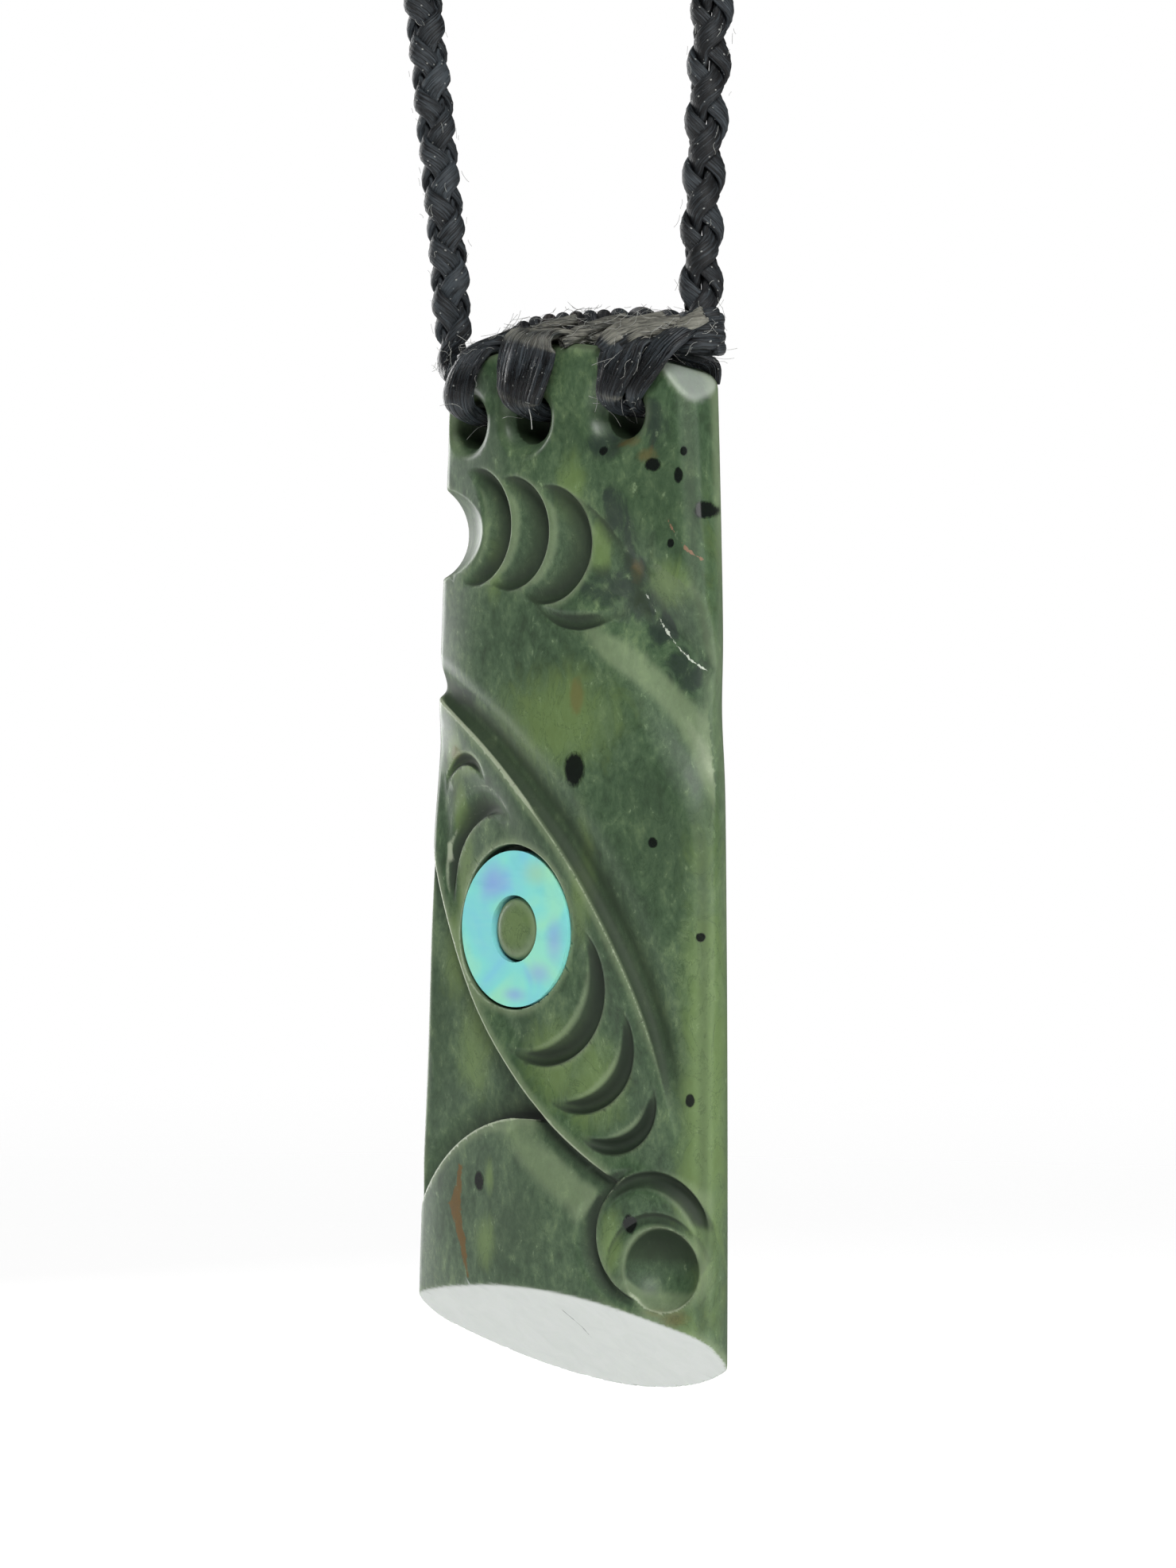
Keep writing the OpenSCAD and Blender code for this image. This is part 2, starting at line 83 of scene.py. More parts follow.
# The stone's main sizes in millimetres, as in the part's source
LENGTH = 67.0
FRONT_RISE, FRONT_RADIUS = 3.1, 42.0
BACK_DEPTH, BACK_DEPTH_TOP, BACK_RADIUS = 5.8, 4.6, 20.2
LEFT_REACH, LEFT_REACH_TOP = 13.2, 10.2
RIGHT_REACH, RIGHT_REACH_TOP, WIDEST_AT = 12.4, 10.4, 14.0
BEVEL_HEIGHT, CORNER_RADIUS, CORNER_RISE = 7.0, 3.6, 1.3
BEVEL_TWIST = 0.1
# The top's arch: its radius, the place across of its middle, and the degrees by which it falls toward the back
TOP_ARCH_RADIUS, TOP_ARCH_AT, TOP_FALL = 32.0, -1.0, 5.0
# The holes as (across, countersink radius)
HOLES = [(-8.0, 2.0), (-2.0, 2.3), (5.7, 2.4)]
HOLE_RADIUS, HOLE_HEIGHT, COUNTERSINK = 1.55, 62.2, 0.9
EYE, RING_RADIUS, RING_HOLE, RING_THICKNESS, EYE_SINK, RING_PLAY = (-2.8, 29.7), 5.0, 2.15, 1.0, 0.3, 0.15
BROW_DEPTH, FIELD_STEP, DISH_DEPTH, WAVE_DEPTH = 1.1, 1.05, 0.28, 0.035
# The facet off the top's right end: a point of it as (across, back, up), and the way it faces
FACET_AT, FACET_WAY = (9.9, -1.2, 64.1), (0.8, -0.2, 0.57)
# A shallow dent in the right side
DENT_HEIGHT, DENT_SPREAD, DENT_DEPTH = 43.5, 3.2, 0.45

# Every circle is ((across, up) of its centre on the face, radius).
# Crescent cuts as (outer wall's circle, inner edge's circle, depth, fall). The fall is how many times as steep as a
# straight floor the slope from the inner edge is
CRESCENTS = [
    (((-7.0, 55.5), 3.8), ((-9.9, 55.7), 3.95), 1.1, 1.3),
    (((-3.4, 54.95), 3.65), ((-7.0, 55.5), 4.05), 1.1, 1.3),
    (((-0.05, 54.15), 3.8), ((-3.4, 54.95), 3.9), 1.1, 1.3),
    (((0.05, 26.1), 5.12), ((-2.0, 27.85), 5.57), 1.1, 1.8),
    (((3.15, 22.4), 4.27), ((1.15, 24.35), 5.19), 1.1, 1.8),
    (((5.75, 19.1), 3.38), ((4.3, 21.7), 4.71), 1.1, 1.8),
    (((2.95, 54.2), 5.5), ((2.4, 55.6), 5.9), 0.5, 1.8),
    (((-1.8, 48.65), 9.5), ((-24.3, 35.5), 34.0), 0.5, 1.3),
    (((8.85, 10.9), 4.1), ((8.3, 10.2), 3.5), 0.9, 1.4),
    (((9.2, 8.75), 3.65), ((9.15, 8.3), 3.35), 0.5, 1.3),
]
# Hooks above the eye as (steep inner side's circle, outer edge's circle, depth)
HOOKS = [
    (((-4.5, 32.4), 4.53), ((-6.4, 35.4), 3.62), 1.1),
    (((-4.5, 32.4), 4.5), ((-6.3, 33.6), 3.75), 1.1),
    (((-7.9, 37.6), 2.5), ((-8.1, 38.7), 2.45), 0.8),
]
# The brow's crest over the eye field, and where its groove ends
BROW_WALL, BROW_FADE = ((-29.2, 8.0), 40.7), ((-22.4, 14.3), 34.5)
# The eye field's lower edge, where the groove under it ends, and how far that groove runs
FIELD_EDGE, FIELD_FADE, FIELD_GROOVE_END = ((21.45, 45.2), 34.5), ((21.45, 45.2), 37.3), ((7.3, 10.0), 12.5)
LOBE = ((-0.7, 4.0), 13.8)
# The curl, the groove beside it, and the round hollow in it
CURL, CURL_SIDE, CURL_HOLLOW, CURL_BALL_RADIUS = ((8.85, 10.9), 4.1), ((7.6, 10.9), 4.4), ((9.6, 8.85), 2.65), 2.85
SCOOP, SCOOP_SLANT = ((-6.1, 55.2), 3.2), 53.0
# The valley out over the right edge: its two ends as (across, up, half width), and its radius
VALLEY_FROM, VALLEY_TO, VALLEY_RADIUS = (5.9, 53.6, 1.4), (13.0, 43.0, 3.1), 5.5
# The valley's lower bank is a curved ridge. The crease and the far bank lie this far from it
RIDGE, CREASE_AT, BANK_AT, CREASE_DEPTH = ((-1.5, 34.1), 15.0), 3.1, 6.2, 1.25
# The eye's pocket is let in a little too wide, so a gap shows at the upper left of the shell
POCKET_SHIFT, POCKET_ROOM = (-0.19, 0.12), 0.13


def linear(hex_colour):
    """sRGB hex colour as linear RGBA."""
    parts = [int(hex_colour[i:i + 2], 16) / 255 for i in (1, 3, 5)]
    return tuple(c / 12.92 if c <= 0.04045 else ((c + 0.055) / 1.055) ** 2.4 for c in parts) + (1.0,)


def smooth_max(a, b, soft):
    """The larger of two distances, with the corner between them rounded."""
    t = np.clip(0.5 + 0.5 * (a - b) / soft, 0, 1)
    return b + (a - b) * t + soft * t * (1 - t)


def fade(value, start, end):
    """0 before start, 1 after end, and smooth between."""
    t = np.clip((value - start) / (end - start), 0, 1)
    return t * t * (3 - 2 * t)


def front_at(x):
    """How far the front face stands forward at a place across it."""
    return FRONT_RISE - FRONT_RADIUS + np.sqrt(FRONT_RADIUS ** 2 - x ** 2)


def back_at(x, up):
    """How far the back face stands back at a place across it and up."""
    return (BACK_DEPTH + (BACK_DEPTH_TOP - BACK_DEPTH) * up / LENGTH
            - BACK_RADIUS + np.sqrt(BACK_RADIUS ** 2 - x ** 2))


def on_face(x, y):
    """Place across the curved face, and depth below it."""
    centre = FRONT_RADIUS - FRONT_RISE
    return FRONT_RADIUS * np.arctan2(x, centre - y), FRONT_RADIUS - np.hypot(x, y - centre)


def over_bevel(x, y, up):
    """Distance above the ground bevel, which turns a little toward the right."""
    fall = BEVEL_TWIST * (x - 2 + np.sqrt((x - 2) ** 2 + 9)) / 2
    slope = np.arctan((BEVEL_HEIGHT - fall) / (FRONT_RISE + BACK_DEPTH))
    return (y - BACK_DEPTH) * np.sin(slope) + up * np.cos(slope)


def over_facet(x, y, up):
    """Distance beyond the facet off the top's right end."""
    away = FACET_WAY[0] * (x - FACET_AT[0]) + FACET_WAY[1] * (y - FACET_AT[1]) + FACET_WAY[2] * (up - FACET_AT[2])
    return away / math.hypot(*FACET_WAY)


def beyond(circle, across, up):
    """Distance outside a circle, below 0 in it."""
    (centre_across, centre_up), radius = circle
    return np.hypot(across - centre_across, up - centre_up) - radius


def brow_groove(across, up):
    """Distance outside the brow's crest, the groove's width there, and the share of the groove crossed."""
    crest_out = beyond(BROW_WALL, across, up)
    width = crest_out - beyond(BROW_FADE, across, up)
    return crest_out, width, np.clip(crest_out / np.maximum(1.3 * width, 0.01), 0, 1)


def crescent_cut(across, up, depth, outer, inner, deep, fall):
    """Distance to a crescent cut: a steep outer wall, a rounded floor, and a slope up to the inner edge."""
    wall_run, floor_run = 0.4, (math.dist(outer[0], inner[0]) + outer[1] - inner[1]) / (fall * deep)
    wall = (beyond(outer, across, up) + depth * wall_run) / math.hypot(1, wall_run)
    floor = (depth * floor_run - beyond(inner, across, up)) / math.hypot(1, floor_run)
    return smooth_max(smooth_max(wall, floor, 0.6), depth - 1.15 * deep, 0.5)


def groove_cut(across, up, depth, crest, end, deep, crest_run):
    """Distance to a groove: a side that falls from a crest, and a floor that rises away from it to its end."""
    floor_run = (math.dist(crest[0], end[0]) + end[1] - crest[1]) / deep - crest_run
    floor = (beyond(end, across, up) + depth * floor_run) / math.hypot(1, floor_run)
    side = (depth * crest_run - beyond(crest, across, up)) / math.hypot(1, crest_run)
    return smooth_max(floor, side, 0.4)


def stone_field(x, y, up, soft):
    """Distance to the stone's surface in millimetres, below 0 inside it. Soft is the rounding of the carved edges."""
    across, depth = on_face(x, y)
    # The eye field is dished a little between its two edges
    brow_out, brow_width, brow_share = brow_groove(across, up)
    dish = DISH_DEPTH * fade(-brow_out, 0, 3.2) * fade(-beyond(FIELD_EDGE, across, up), 0, 2.0)
    # Slow waves of hand grinding, 9 to 12 mm long
    waves = WAVE_DEPTH * (np.sin(0.42 * across + 0.31 * up) + np.sin(0.67 * across - 0.23 * up + 1.7))
    # Slanting valley: from the ridge down to the crease, and up the far bank
    ridge_out = beyond(RIDGE, across, up)
    banks = np.clip(np.minimum(ridge_out / CREASE_AT, (BANK_AT - ridge_out) / (BANK_AT - CREASE_AT)), 0, 1)
    valley = CREASE_DEPTH * banks * fade(across, 2.0, 8.5) * fade(up, 36, 41)
    # Groove beside the brow: it falls from a crisp crest and rises slowly away from it
    brow = (1.6 * BROW_DEPTH * (1 - np.exp(-np.maximum(brow_out, 0) / 0.7)) * (1 - brow_share) ** 2
            * fade(brow_width, 0, 1.6) * fade(up, 15, 25))
    stone = dish + waves + valley + brow - depth

    # The back, the two long sides, the top, the bevel, and the top's right corner
    worn, right_worn = 0.8, 1.2
    lean = math.atan((BACK_DEPTH - BACK_DEPTH_TOP) / LENGTH)
    back_centre = BACK_DEPTH - BACK_RADIUS - up * math.tan(lean)
    stone = smooth_max(stone, np.hypot(x, (y - back_centre) * math.cos(lean)) - BACK_RADIUS, soft)
    left_lean = math.atan((LEFT_REACH - LEFT_REACH_TOP) / LENGTH)
    stone = smooth_max(stone, -(x + LEFT_REACH - up * math.tan(left_lean)) * math.cos(left_lean), worn)
    bulge = RIGHT_REACH - RIGHT_REACH_TOP
    bow = ((LENGTH - WIDEST_AT) ** 2 / bulge + bulge) / 2
    dent = DENT_DEPTH * np.exp(-np.square((up - DENT_HEIGHT) / DENT_SPREAD))
    stone = smooth_max(stone, np.hypot(x - RIGHT_REACH + bow, up - WIDEST_AT) - bow + dent, right_worn)
    fall = math.radians(TOP_FALL)
    arch = (y + FRONT_RISE) * math.sin(fall) + (up - LENGTH) * math.cos(fall) + TOP_ARCH_RADIUS
    stone = smooth_max(stone, np.hypot(x - TOP_ARCH_AT, np.maximum(arch, 0)) - TOP_ARCH_RADIUS, worn)
    stone = smooth_max(stone, -over_bevel(x, y, up), soft)
    corner_x = x - RIGHT_REACH + CORNER_RADIUS
    corner_up = CORNER_RADIUS + CORNER_RISE - up
    stone = smooth_max(stone, np.hypot(np.maximum(corner_x, 0), np.maximum(corner_up, 0)) - CORNER_RADIUS
                       + 0.9 * np.minimum(corner_x, 0), soft)
    stone = smooth_max(stone, over_facet(x, y, up), soft)

    # Scoop through the left edge
    turn = math.radians(SCOOP_SLANT)
    (scoop_x, scoop_up), scoop_radius = SCOOP
    aside = (x - scoop_x) * math.cos(turn) + (y + front_at(scoop_x)) * math.sin(turn) + scoop_radius
    stone = smooth_max(stone, scoop_radius - np.hypot(aside, up - scoop_up), soft)

    # Flat face beside the eye field, down to the raised lobe. It starts near the left side, a little under the face
    left, under, flat_top = 1 - LEFT_REACH, 0.05, 38
    drop = math.atan((FRONT_RISE - FIELD_STEP - front_at(left) + under) / -left)
    flat = (x - left) * math.sin(drop) + (y + front_at(left) - under) * math.cos(drop)
    lobe_out, edge_out = beyond(LOBE, x, up), beyond(FIELD_EDGE, x, up)
    # It is cut deeper beside the lobe, which has a slanting side, and beside the eye field
    deeper = 0.4 * np.exp(-np.square(np.maximum(lobe_out, 0) / 1.6)) + 0.25 * np.exp(-np.maximum(edge_out, 0) / 1.2)
    lobe_slant, inner_round = 0.25, 0.35
    cut = smooth_max(flat - deeper, -lobe_out - lobe_slant * depth, inner_round)
    cut = smooth_max(cut, -edge_out, inner_round)
    stone = smooth_max(stone, -np.maximum(cut, up - flat_top), soft)

    # Groove under the eye field's lower edge, which turns down beside the curl
    deep, crest_run = 0.8, 0.3
    cut = groove_cut(across, up, depth, FIELD_EDGE, FIELD_FADE, deep, crest_run)
    cut = smooth_max(cut, beyond(FIELD_GROOVE_END, across, up), 0.8)
    stone = smooth_max(stone, -smooth_max(cut, -beyond(CURL, across, up), 0.4), soft)
    stone = smooth_max(stone, -groove_cut(across, up, depth, CURL, CURL_SIDE, deep, crest_run), soft)

    # Slanting valley out over the right edge
    ends = [np.array([p[0], -front_at(p[0]) - math.sqrt(VALLEY_RADIUS ** 2 - p[2] ** 2), p[1]])
            for p in (VALLEY_FROM, VALLEY_TO)]
    run = (ends[1] - ends[0]) / np.linalg.norm(ends[1] - ends[0])
    ox, oy, oz = x - ends[0][0], y - ends[0][1], up - ends[0][2]
    along = ox * run[0] + oy * run[1] + oz * run[2]
    stone = smooth_max(stone, VALLEY_RADIUS - np.sqrt(ox ** 2 + oy ** 2 + oz ** 2 - along ** 2), 0.8)

    for row in CRESCENTS:
        stone = smooth_max(stone, -crescent_cut(across, up, depth, *row), soft)
    for inner, outer, deep in HOOKS:
        cut = groove_cut(across, up, depth, inner, outer, deep, 0.25)
        stone = smooth_max(stone, -smooth_max(cut, depth - deep, 0.4), soft)
    # Round hollow in the curl: part of a ball whose middle stands over the face
    (ball_across, ball_up), rim_radius = CURL_HOLLOW
    ball_over = math.sqrt(CURL_BALL_RADIUS ** 2 - rim_radius ** 2)
    from_ball = np.sqrt((across - ball_across) ** 2 + (up - ball_up) ** 2 + (depth + ball_over) ** 2)
    stone = smooth_max(stone, CURL_BALL_RADIUS - from_ball, soft)

    # Pocket of the shell ring, with the domed boss left standing in it
    clearance, dome_radius = 0.1, 5.0
    floor = EYE_SINK + RING_THICKNESS + clearance
    eye_away = np.hypot(across - EYE[0], up - EYE[1])
    boss_dome = np.sqrt(eye_away ** 2 + (depth - dome_radius - clearance) ** 2) - dome_radius
    boss = smooth_max(eye_away - RING_HOLE + RING_PLAY, boss_dome, 0.3)
    pocket_away = np.hypot(across - EYE[0] - POCKET_SHIFT[0], up - EYE[1] - POCKET_SHIFT[1])
    pocket = np.maximum(np.maximum(pocket_away - RING_RADIUS - RING_PLAY - POCKET_ROOM, depth - floor), -boss)
    stone = smooth_max(stone, -pocket, soft * 0.6)

    for hole_x, sink_radius in HOLES:
        spread = (sink_radius - HOLE_RADIUS) / COUNTERSINK
        over = np.maximum(COUNTERSINK - y - front_at(hole_x), COUNTERSINK + y - back_at(hole_x, HOLE_HEIGHT))
        hole = np.hypot(x - hole_x, up - HOLE_HEIGHT) - HOLE_RADIUS - spread * np.maximum(over, 0)
        stone = smooth_max(stone, -hole, 0.5)
    return stone


def add(tree, kind, inputs=(), stops=(), **settings):
    """Adds a shader node: its settings, its inputs as values, sockets or nodes, and a ramp's stops."""
    made = tree.nodes.new("ShaderNode" + kind)
    for name, value in settings.items():
        setattr(made, name, value)
    for key, value in dict(inputs).items():
        if isinstance(value, bpy.types.Node):
            value = next(socket for socket in value.outputs if socket.enabled)
        if isinstance(value, bpy.types.NodeSocket):
            tree.links.new(value, made.inputs[key])
        else:
            made.inputs[key].default_value = value
    if stops:
        ramp = made.color_ramp
        while len(ramp.elements) < len(stops):
            ramp.elements.new(1.0)
        for element, (position, colour) in zip(ramp.elements, stops):
            element.position = position
            element.color = colour
    return made


def new_material(name):
    made = bpy.data.materials.new(name)
    made.use_nodes = True
    made.node_tree.nodes.clear()
    return made, made.node_tree


def make_piece(name, points, faces, material, slot, node, **values):
    """A smooth piece from points in [across, back, up] millimetres. It rides on the body, stands for a CAD node, and
    stores values per point."""
    mesh = bpy.data.meshes.new(name)
    points, faces = np.asarray((points - (0, 0, NAPE_UP)) * MM, np.float32), np.asarray(faces, np.int32)
    mesh.vertices.add(len(points))
    mesh.vertices.foreach_set("co", points.ravel())
    mesh.loops.add(faces.size)
    mesh.loops.foreach_set("vertex_index", faces.ravel())
    mesh.polygons.add(len(faces))
    mesh.polygons.foreach_set("loop_start", np.arange(0, faces.size, faces.shape[1], dtype=np.int32))
    mesh.polygons.foreach_set("use_smooth", np.ones(len(faces), bool))
    mesh.update(calc_edges=True)
    if mesh.validate():
        raise RuntimeError(f"the mesh of {name} has faulty faces")
    mesh.materials.append(material)
    for value_name, numbers in values.items():
        numbers = np.asarray(numbers, np.float32)
        kind, field = ("FLOAT", "value") if numbers.ndim == 1 else ("FLOAT_VECTOR", "vector")
        mesh.attributes.new(value_name, kind, "POINT").data.foreach_set(field, numbers.ravel())
    piece = bpy.data.objects.new(name, mesh)
    bpy.context.scene.collection.objects.link(piece)
    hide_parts(node)
    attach(piece, "root")
    return piece


# Marks in the stone: [across, up] of the middle on the face, and the two half widths, in millimetres
BLACK_SPOTS = [
    (8.4, 58.9, 0.62, 0.42), (10.2, 58.2, 0.32, 0.5), (10.5, 59.7, 0.22, 0.3), (11.6, 56.1, 0.5, 0.6),
    (9.7, 54.0, 0.25, 0.3), (2.6, 39.9, 0.85, 1.15), (8.7, 35.4, 0.34, 0.34), (12.0, 29.6, 0.3, 0.3),
    (11.5, 19.5, 0.34, 0.45), (-5.7, 13.4, 0.5, 0.65), (7.3, 11.6, 0.5, 0.6), (4.6, 59.9, 0.3, 0.3),
]
# Dark clouds, partly the stone's own and partly painted shade on the valley's lower bank below the ridge
SOOT_AND_SHADE_CLOUDS = [
    (4.9, 51.2, 2.2, 1.1), (7.0, 50.3, 1.5, 1.1), (9.8, 46.4, 0.9, 1.0), (5.4, 55.9, 0.8, 1.3),
    (6.6, 53.4, 0.55, 1.9), (8.6, 48.7, 1.1, 1.1), (8.3, 61.6, 1.0, 1.4), (4.7, 60.2, 1.3, 0.9),
    (7.2, 52.2, 0.6, 1.2), (10.6, 45.6, 0.9, 0.9), (-8.6, 44.6, 2.2, 0.5),
]
DEEP_ZONES = [
    (9.5, 57.5, 4.2, 4.5), (-9.5, 50.0, 1.8, 3.4), (-11.6, 24.0, 2.4, 6.5), (9.5, 35.5, 3.4, 5.5),
    (-2.5, 10.5, 3.0, 3.0), (2.5, 61.5, 4.5, 1.8), (-6.0, 61.0, 3.5, 2.5), (-1.0, 21.5, 1.8, 3.6),
    (-2.5, 36.5, 3.0, 2.0),
]
# Lime patches are the stone's own colour, except the one at (-7.4, 22.0), which is painted light in the shaded recess
# beside the lobe
LIME_AND_LIGHT_PATCHES = [
    (4.4, 54.0, 0.75, 1.7), (9.4, 51.6, 1.6, 1.4), (-4.9, 53.0, 0.8, 1.8), (1.0, 21.5, 2.3, 2.6),
    (4.2, 20.0, 2.2, 2.8), (2.0, 57.5, 1.2, 2.0), (12.6, 20.0, 1.8, 16.0), (-7.9, 33.0, 0.8, 3.0),
    (-9.2, 28.0, 1.6, 2.6), (-7.4, 22.0, 1.6, 3.2), (11.4, 4.6, 1.3, 1.5), (-5.0, 9.6, 1.0, 1.6),
    (-4.7, 13.7, 0.4, 1.0), (-9.3, 40.6, 1.0, 1.6), (-7.6, 40.2, 1.2, 0.8), (-8.6, 37.0, 0.7, 2.0),
    (5.9, 10.2, 0.9, 1.8), (1.0, 43.0, 5.0, 3.0), (12.8, 56.0, 1.0, 8.5), (-8.0, 65.0, 0.8, 1.6),
    (-2.8, 29.7, 1.9, 1.9), (3.2, 33.0, 0.8, 4.0),
]
RUST_PATCHES = [
    (7.9, 59.5, 0.7, 0.5), (2.8, 44.5, 0.5, 1.0), (-9.0, 40.9, 0.6, 0.4), (7.0, 52.4, 0.5, 0.8),
    (6.6, 60.4, 1.2, 0.4), (10.4, 5.9, 1.1, 0.6), (9.2, 6.2, 0.9, 0.3),
]
# Lines in the stone as (up, across, half width), from the lowest point up
FISSURE = [
    (7.2, -6.8, 0.03), (9.0, -7.3, 0.22), (10.6, -7.9, 0.4), (11.7, -8.3, 0.6), (12.4, -8.0, 0.3), (14.2, -7.7, 0.1)]
WHITE_CRACK = [(46.1, 11.7, 0.02), (46.8, 10.6, 0.04), (47.7, 9.6, 0.05), (49.0, 8.5, 0.05), (50.9, 7.4, 0.03)]
RED_LINE = [(53.0, 11.6, 0.03), (53.6, 10.8, 0.05), (54.6, 10.0, 0.04), (55.6, 9.4, 0.03)]
BEVEL_HAIR = [(3.6, 0.9, 0.02), (4.4, 1.0, 0.04), (5.6, 0.6, 0.02)]
# Colour patches of the shell, in the form of the stone's patches
VIOLET_PATCHES = [(-4.8, 32.7, 1.7, 1.5), (1.0, 29.1, 1.0, 1.8), (-0.4, 27.0, 1.5, 0.9), (-2.7, 25.5, 1.4, 0.6)]
GOLD_PATCHES = [(-0.6, 33.3, 1.5, 1.0)]


def nearest_patch(tree, place, rows):
    """0 in the middle of the nearest oval patch, and 1 at its rim. A patch reaches 3 mm below the face."""
    found = None
    for across, up, half_across, half_up in rows:
        local = add(tree, "Mapping", {"Vector": place, "Location": (across, up, 0), "Scale": (half_across, half_up, 3)},
                    vector_type="TEXTURE")
        away = add(tree, "VectorMath", {0: local}, operation="LENGTH")
        found = away if found is None else add(tree, "Math", {0: found, 1: away}, operation="MINIMUM")
    return found


def line_distance(tree, place, rows, deepest=2.5):
    """Distance to a line that runs upward, less its half width. It ends at a depth below the face."""
    across, up, depth = add(tree, "SeparateXYZ", {0: place}).outputs
    low, high = rows[0][0], rows[-1][0]
    share = add(tree, "MapRange", {"Value": up, "From Min": low, "From Max": high})
    found = []
    for column, least, most in ((1, -15.0, 15.0), (2, 0.0, 1.0)):
        curve = add(tree, "FloatCurve", {"Value": share})
        points = curve.mapping.curves[0].points
        while len(points) < len(rows):
            points.new(0.5, 0.5)
        for point, row in zip(points, rows):
            point.location = ((row[0] - low) / (high - low), (row[column] - least) / (most - least))
            point.handle_type = "VECTOR"
        curve.mapping.update()
        found.append(add(tree, "Math", {0: curve, 1: most - least, 2: least}, operation="MULTIPLY_ADD"))
    aside = add(tree, "Math", {0: across, 1: found[0]}, operation="SUBTRACT")
    aside = add(tree, "Math", {0: aside}, operation="ABSOLUTE")
    furthest = add(tree, "Math", {0: aside, 1: found[1]}, operation="SUBTRACT")
    for more, less in ((low, up), (up, high), (depth, deepest)):
        past = add(tree, "Math", {0: more, 1: less}, operation="SUBTRACT")
        furthest = add(tree, "Math", {0: furthest, 1: past}, operation="MAXIMUM")
    return furthest


def lay_over(tree, below, colour, value, start, end, most, ragged=None, raggedness=0.0):
    """Lays a colour over another where a value runs from start to end, with its border made ragged by a noise."""
    if ragged:
        value = add(tree, "Math", {0: ragged, 1: raggedness, 2: value}, operation="MULTIPLY_ADD")
        start, end = start + 0.5 * raggedness, end + 0.5 * raggedness
    share = add(tree, "MapRange", {"Value": value, "From Min": start, "From Max": end, "To Max": most},
                interpolation_type="SMOOTHSTEP")
    return add(tree, "Mix", {0: share, 6: below, 7: colour}, data_type="RGBA")


def around(points, soft, reach):
    """The field's values a short way to each side of the points: three pairs."""
    return [(stone_field(*(points + reach * axis).T, soft), stone_field(*(points - reach * axis).T, soft))
            for axis in np.eye(3)]


def stone_mesh(step, soft):
    """The stone's surface in millimetres: points, triangles, normals, and the painted light and shade that each point
    gets from how it lies in the carving.
    """
    # The grid's box is a little larger than the stone
    low, high = np.array([-13.8, -3.7, -0.6]), np.array([13.0, 6.3, 67.8])
    x, y, up = [(low[i] + step * np.arange(math.ceil((high[i] - low[i]) / step))).astype(np.float32) for i in range(3)]
    field = stone_field(x[:, None, None], y[None, :, None], up[None, None, :], np.float32(soft))
    grid = openvdb.FloatGrid(1.0)
    grid.copyFromArray(np.clip(field / step, -3, 3).astype(np.float32))
    points, triangles, quads = grid.convertToPolygons(isovalue=0.0, adaptivity=0.005)
    triangles = np.concatenate([triangles, quads[:, [0, 1, 2]], quads[:, [0, 2, 3]]])
    points = points.astype(float) * step + low
    # Each point is moved onto the true surface
    reach = 0.01
    for _ in range(3):
        slope = np.stack([(ahead - behind) / (2 * reach) for ahead, behind in around(points, soft, reach)], axis=1)
        move = -stone_field(*points.T, soft) / np.maximum((slope ** 2).sum(1), 0.05)
        points = points + slope * np.clip(move, -0.4 * step, 0.4 * step)[:, None]
    normals = slope / np.linalg.norm(slope, axis=1, keepdims=True)
    # How much the surface bends outward, close by and further out. The material paints these as highlights
    here = stone_field(*points.T, soft)
    edge_highlight, broad_highlight = [(sum(ahead + behind for ahead, behind in around(points, soft, reach)) - 6 * here) / reach ** 2
                    for reach in (0.3, 0.9)]
    # How much nearer the stone is than it would be over a flat face, going straight out: close by, and further out. The
    # material paints these as shade
    hollow, cut_shade = [sum(np.maximum(out - stone_field(*(points + out * normals).T, soft), 0) / out for out in outs)
                   / len(outs) for outs in ((0.5, 1.0, 2.0), (1.5, 3.0, 4.5))]
    return points, triangles, normals, shade_carving(points, edge_highlight, broad_highlight, hollow, cut_shade)


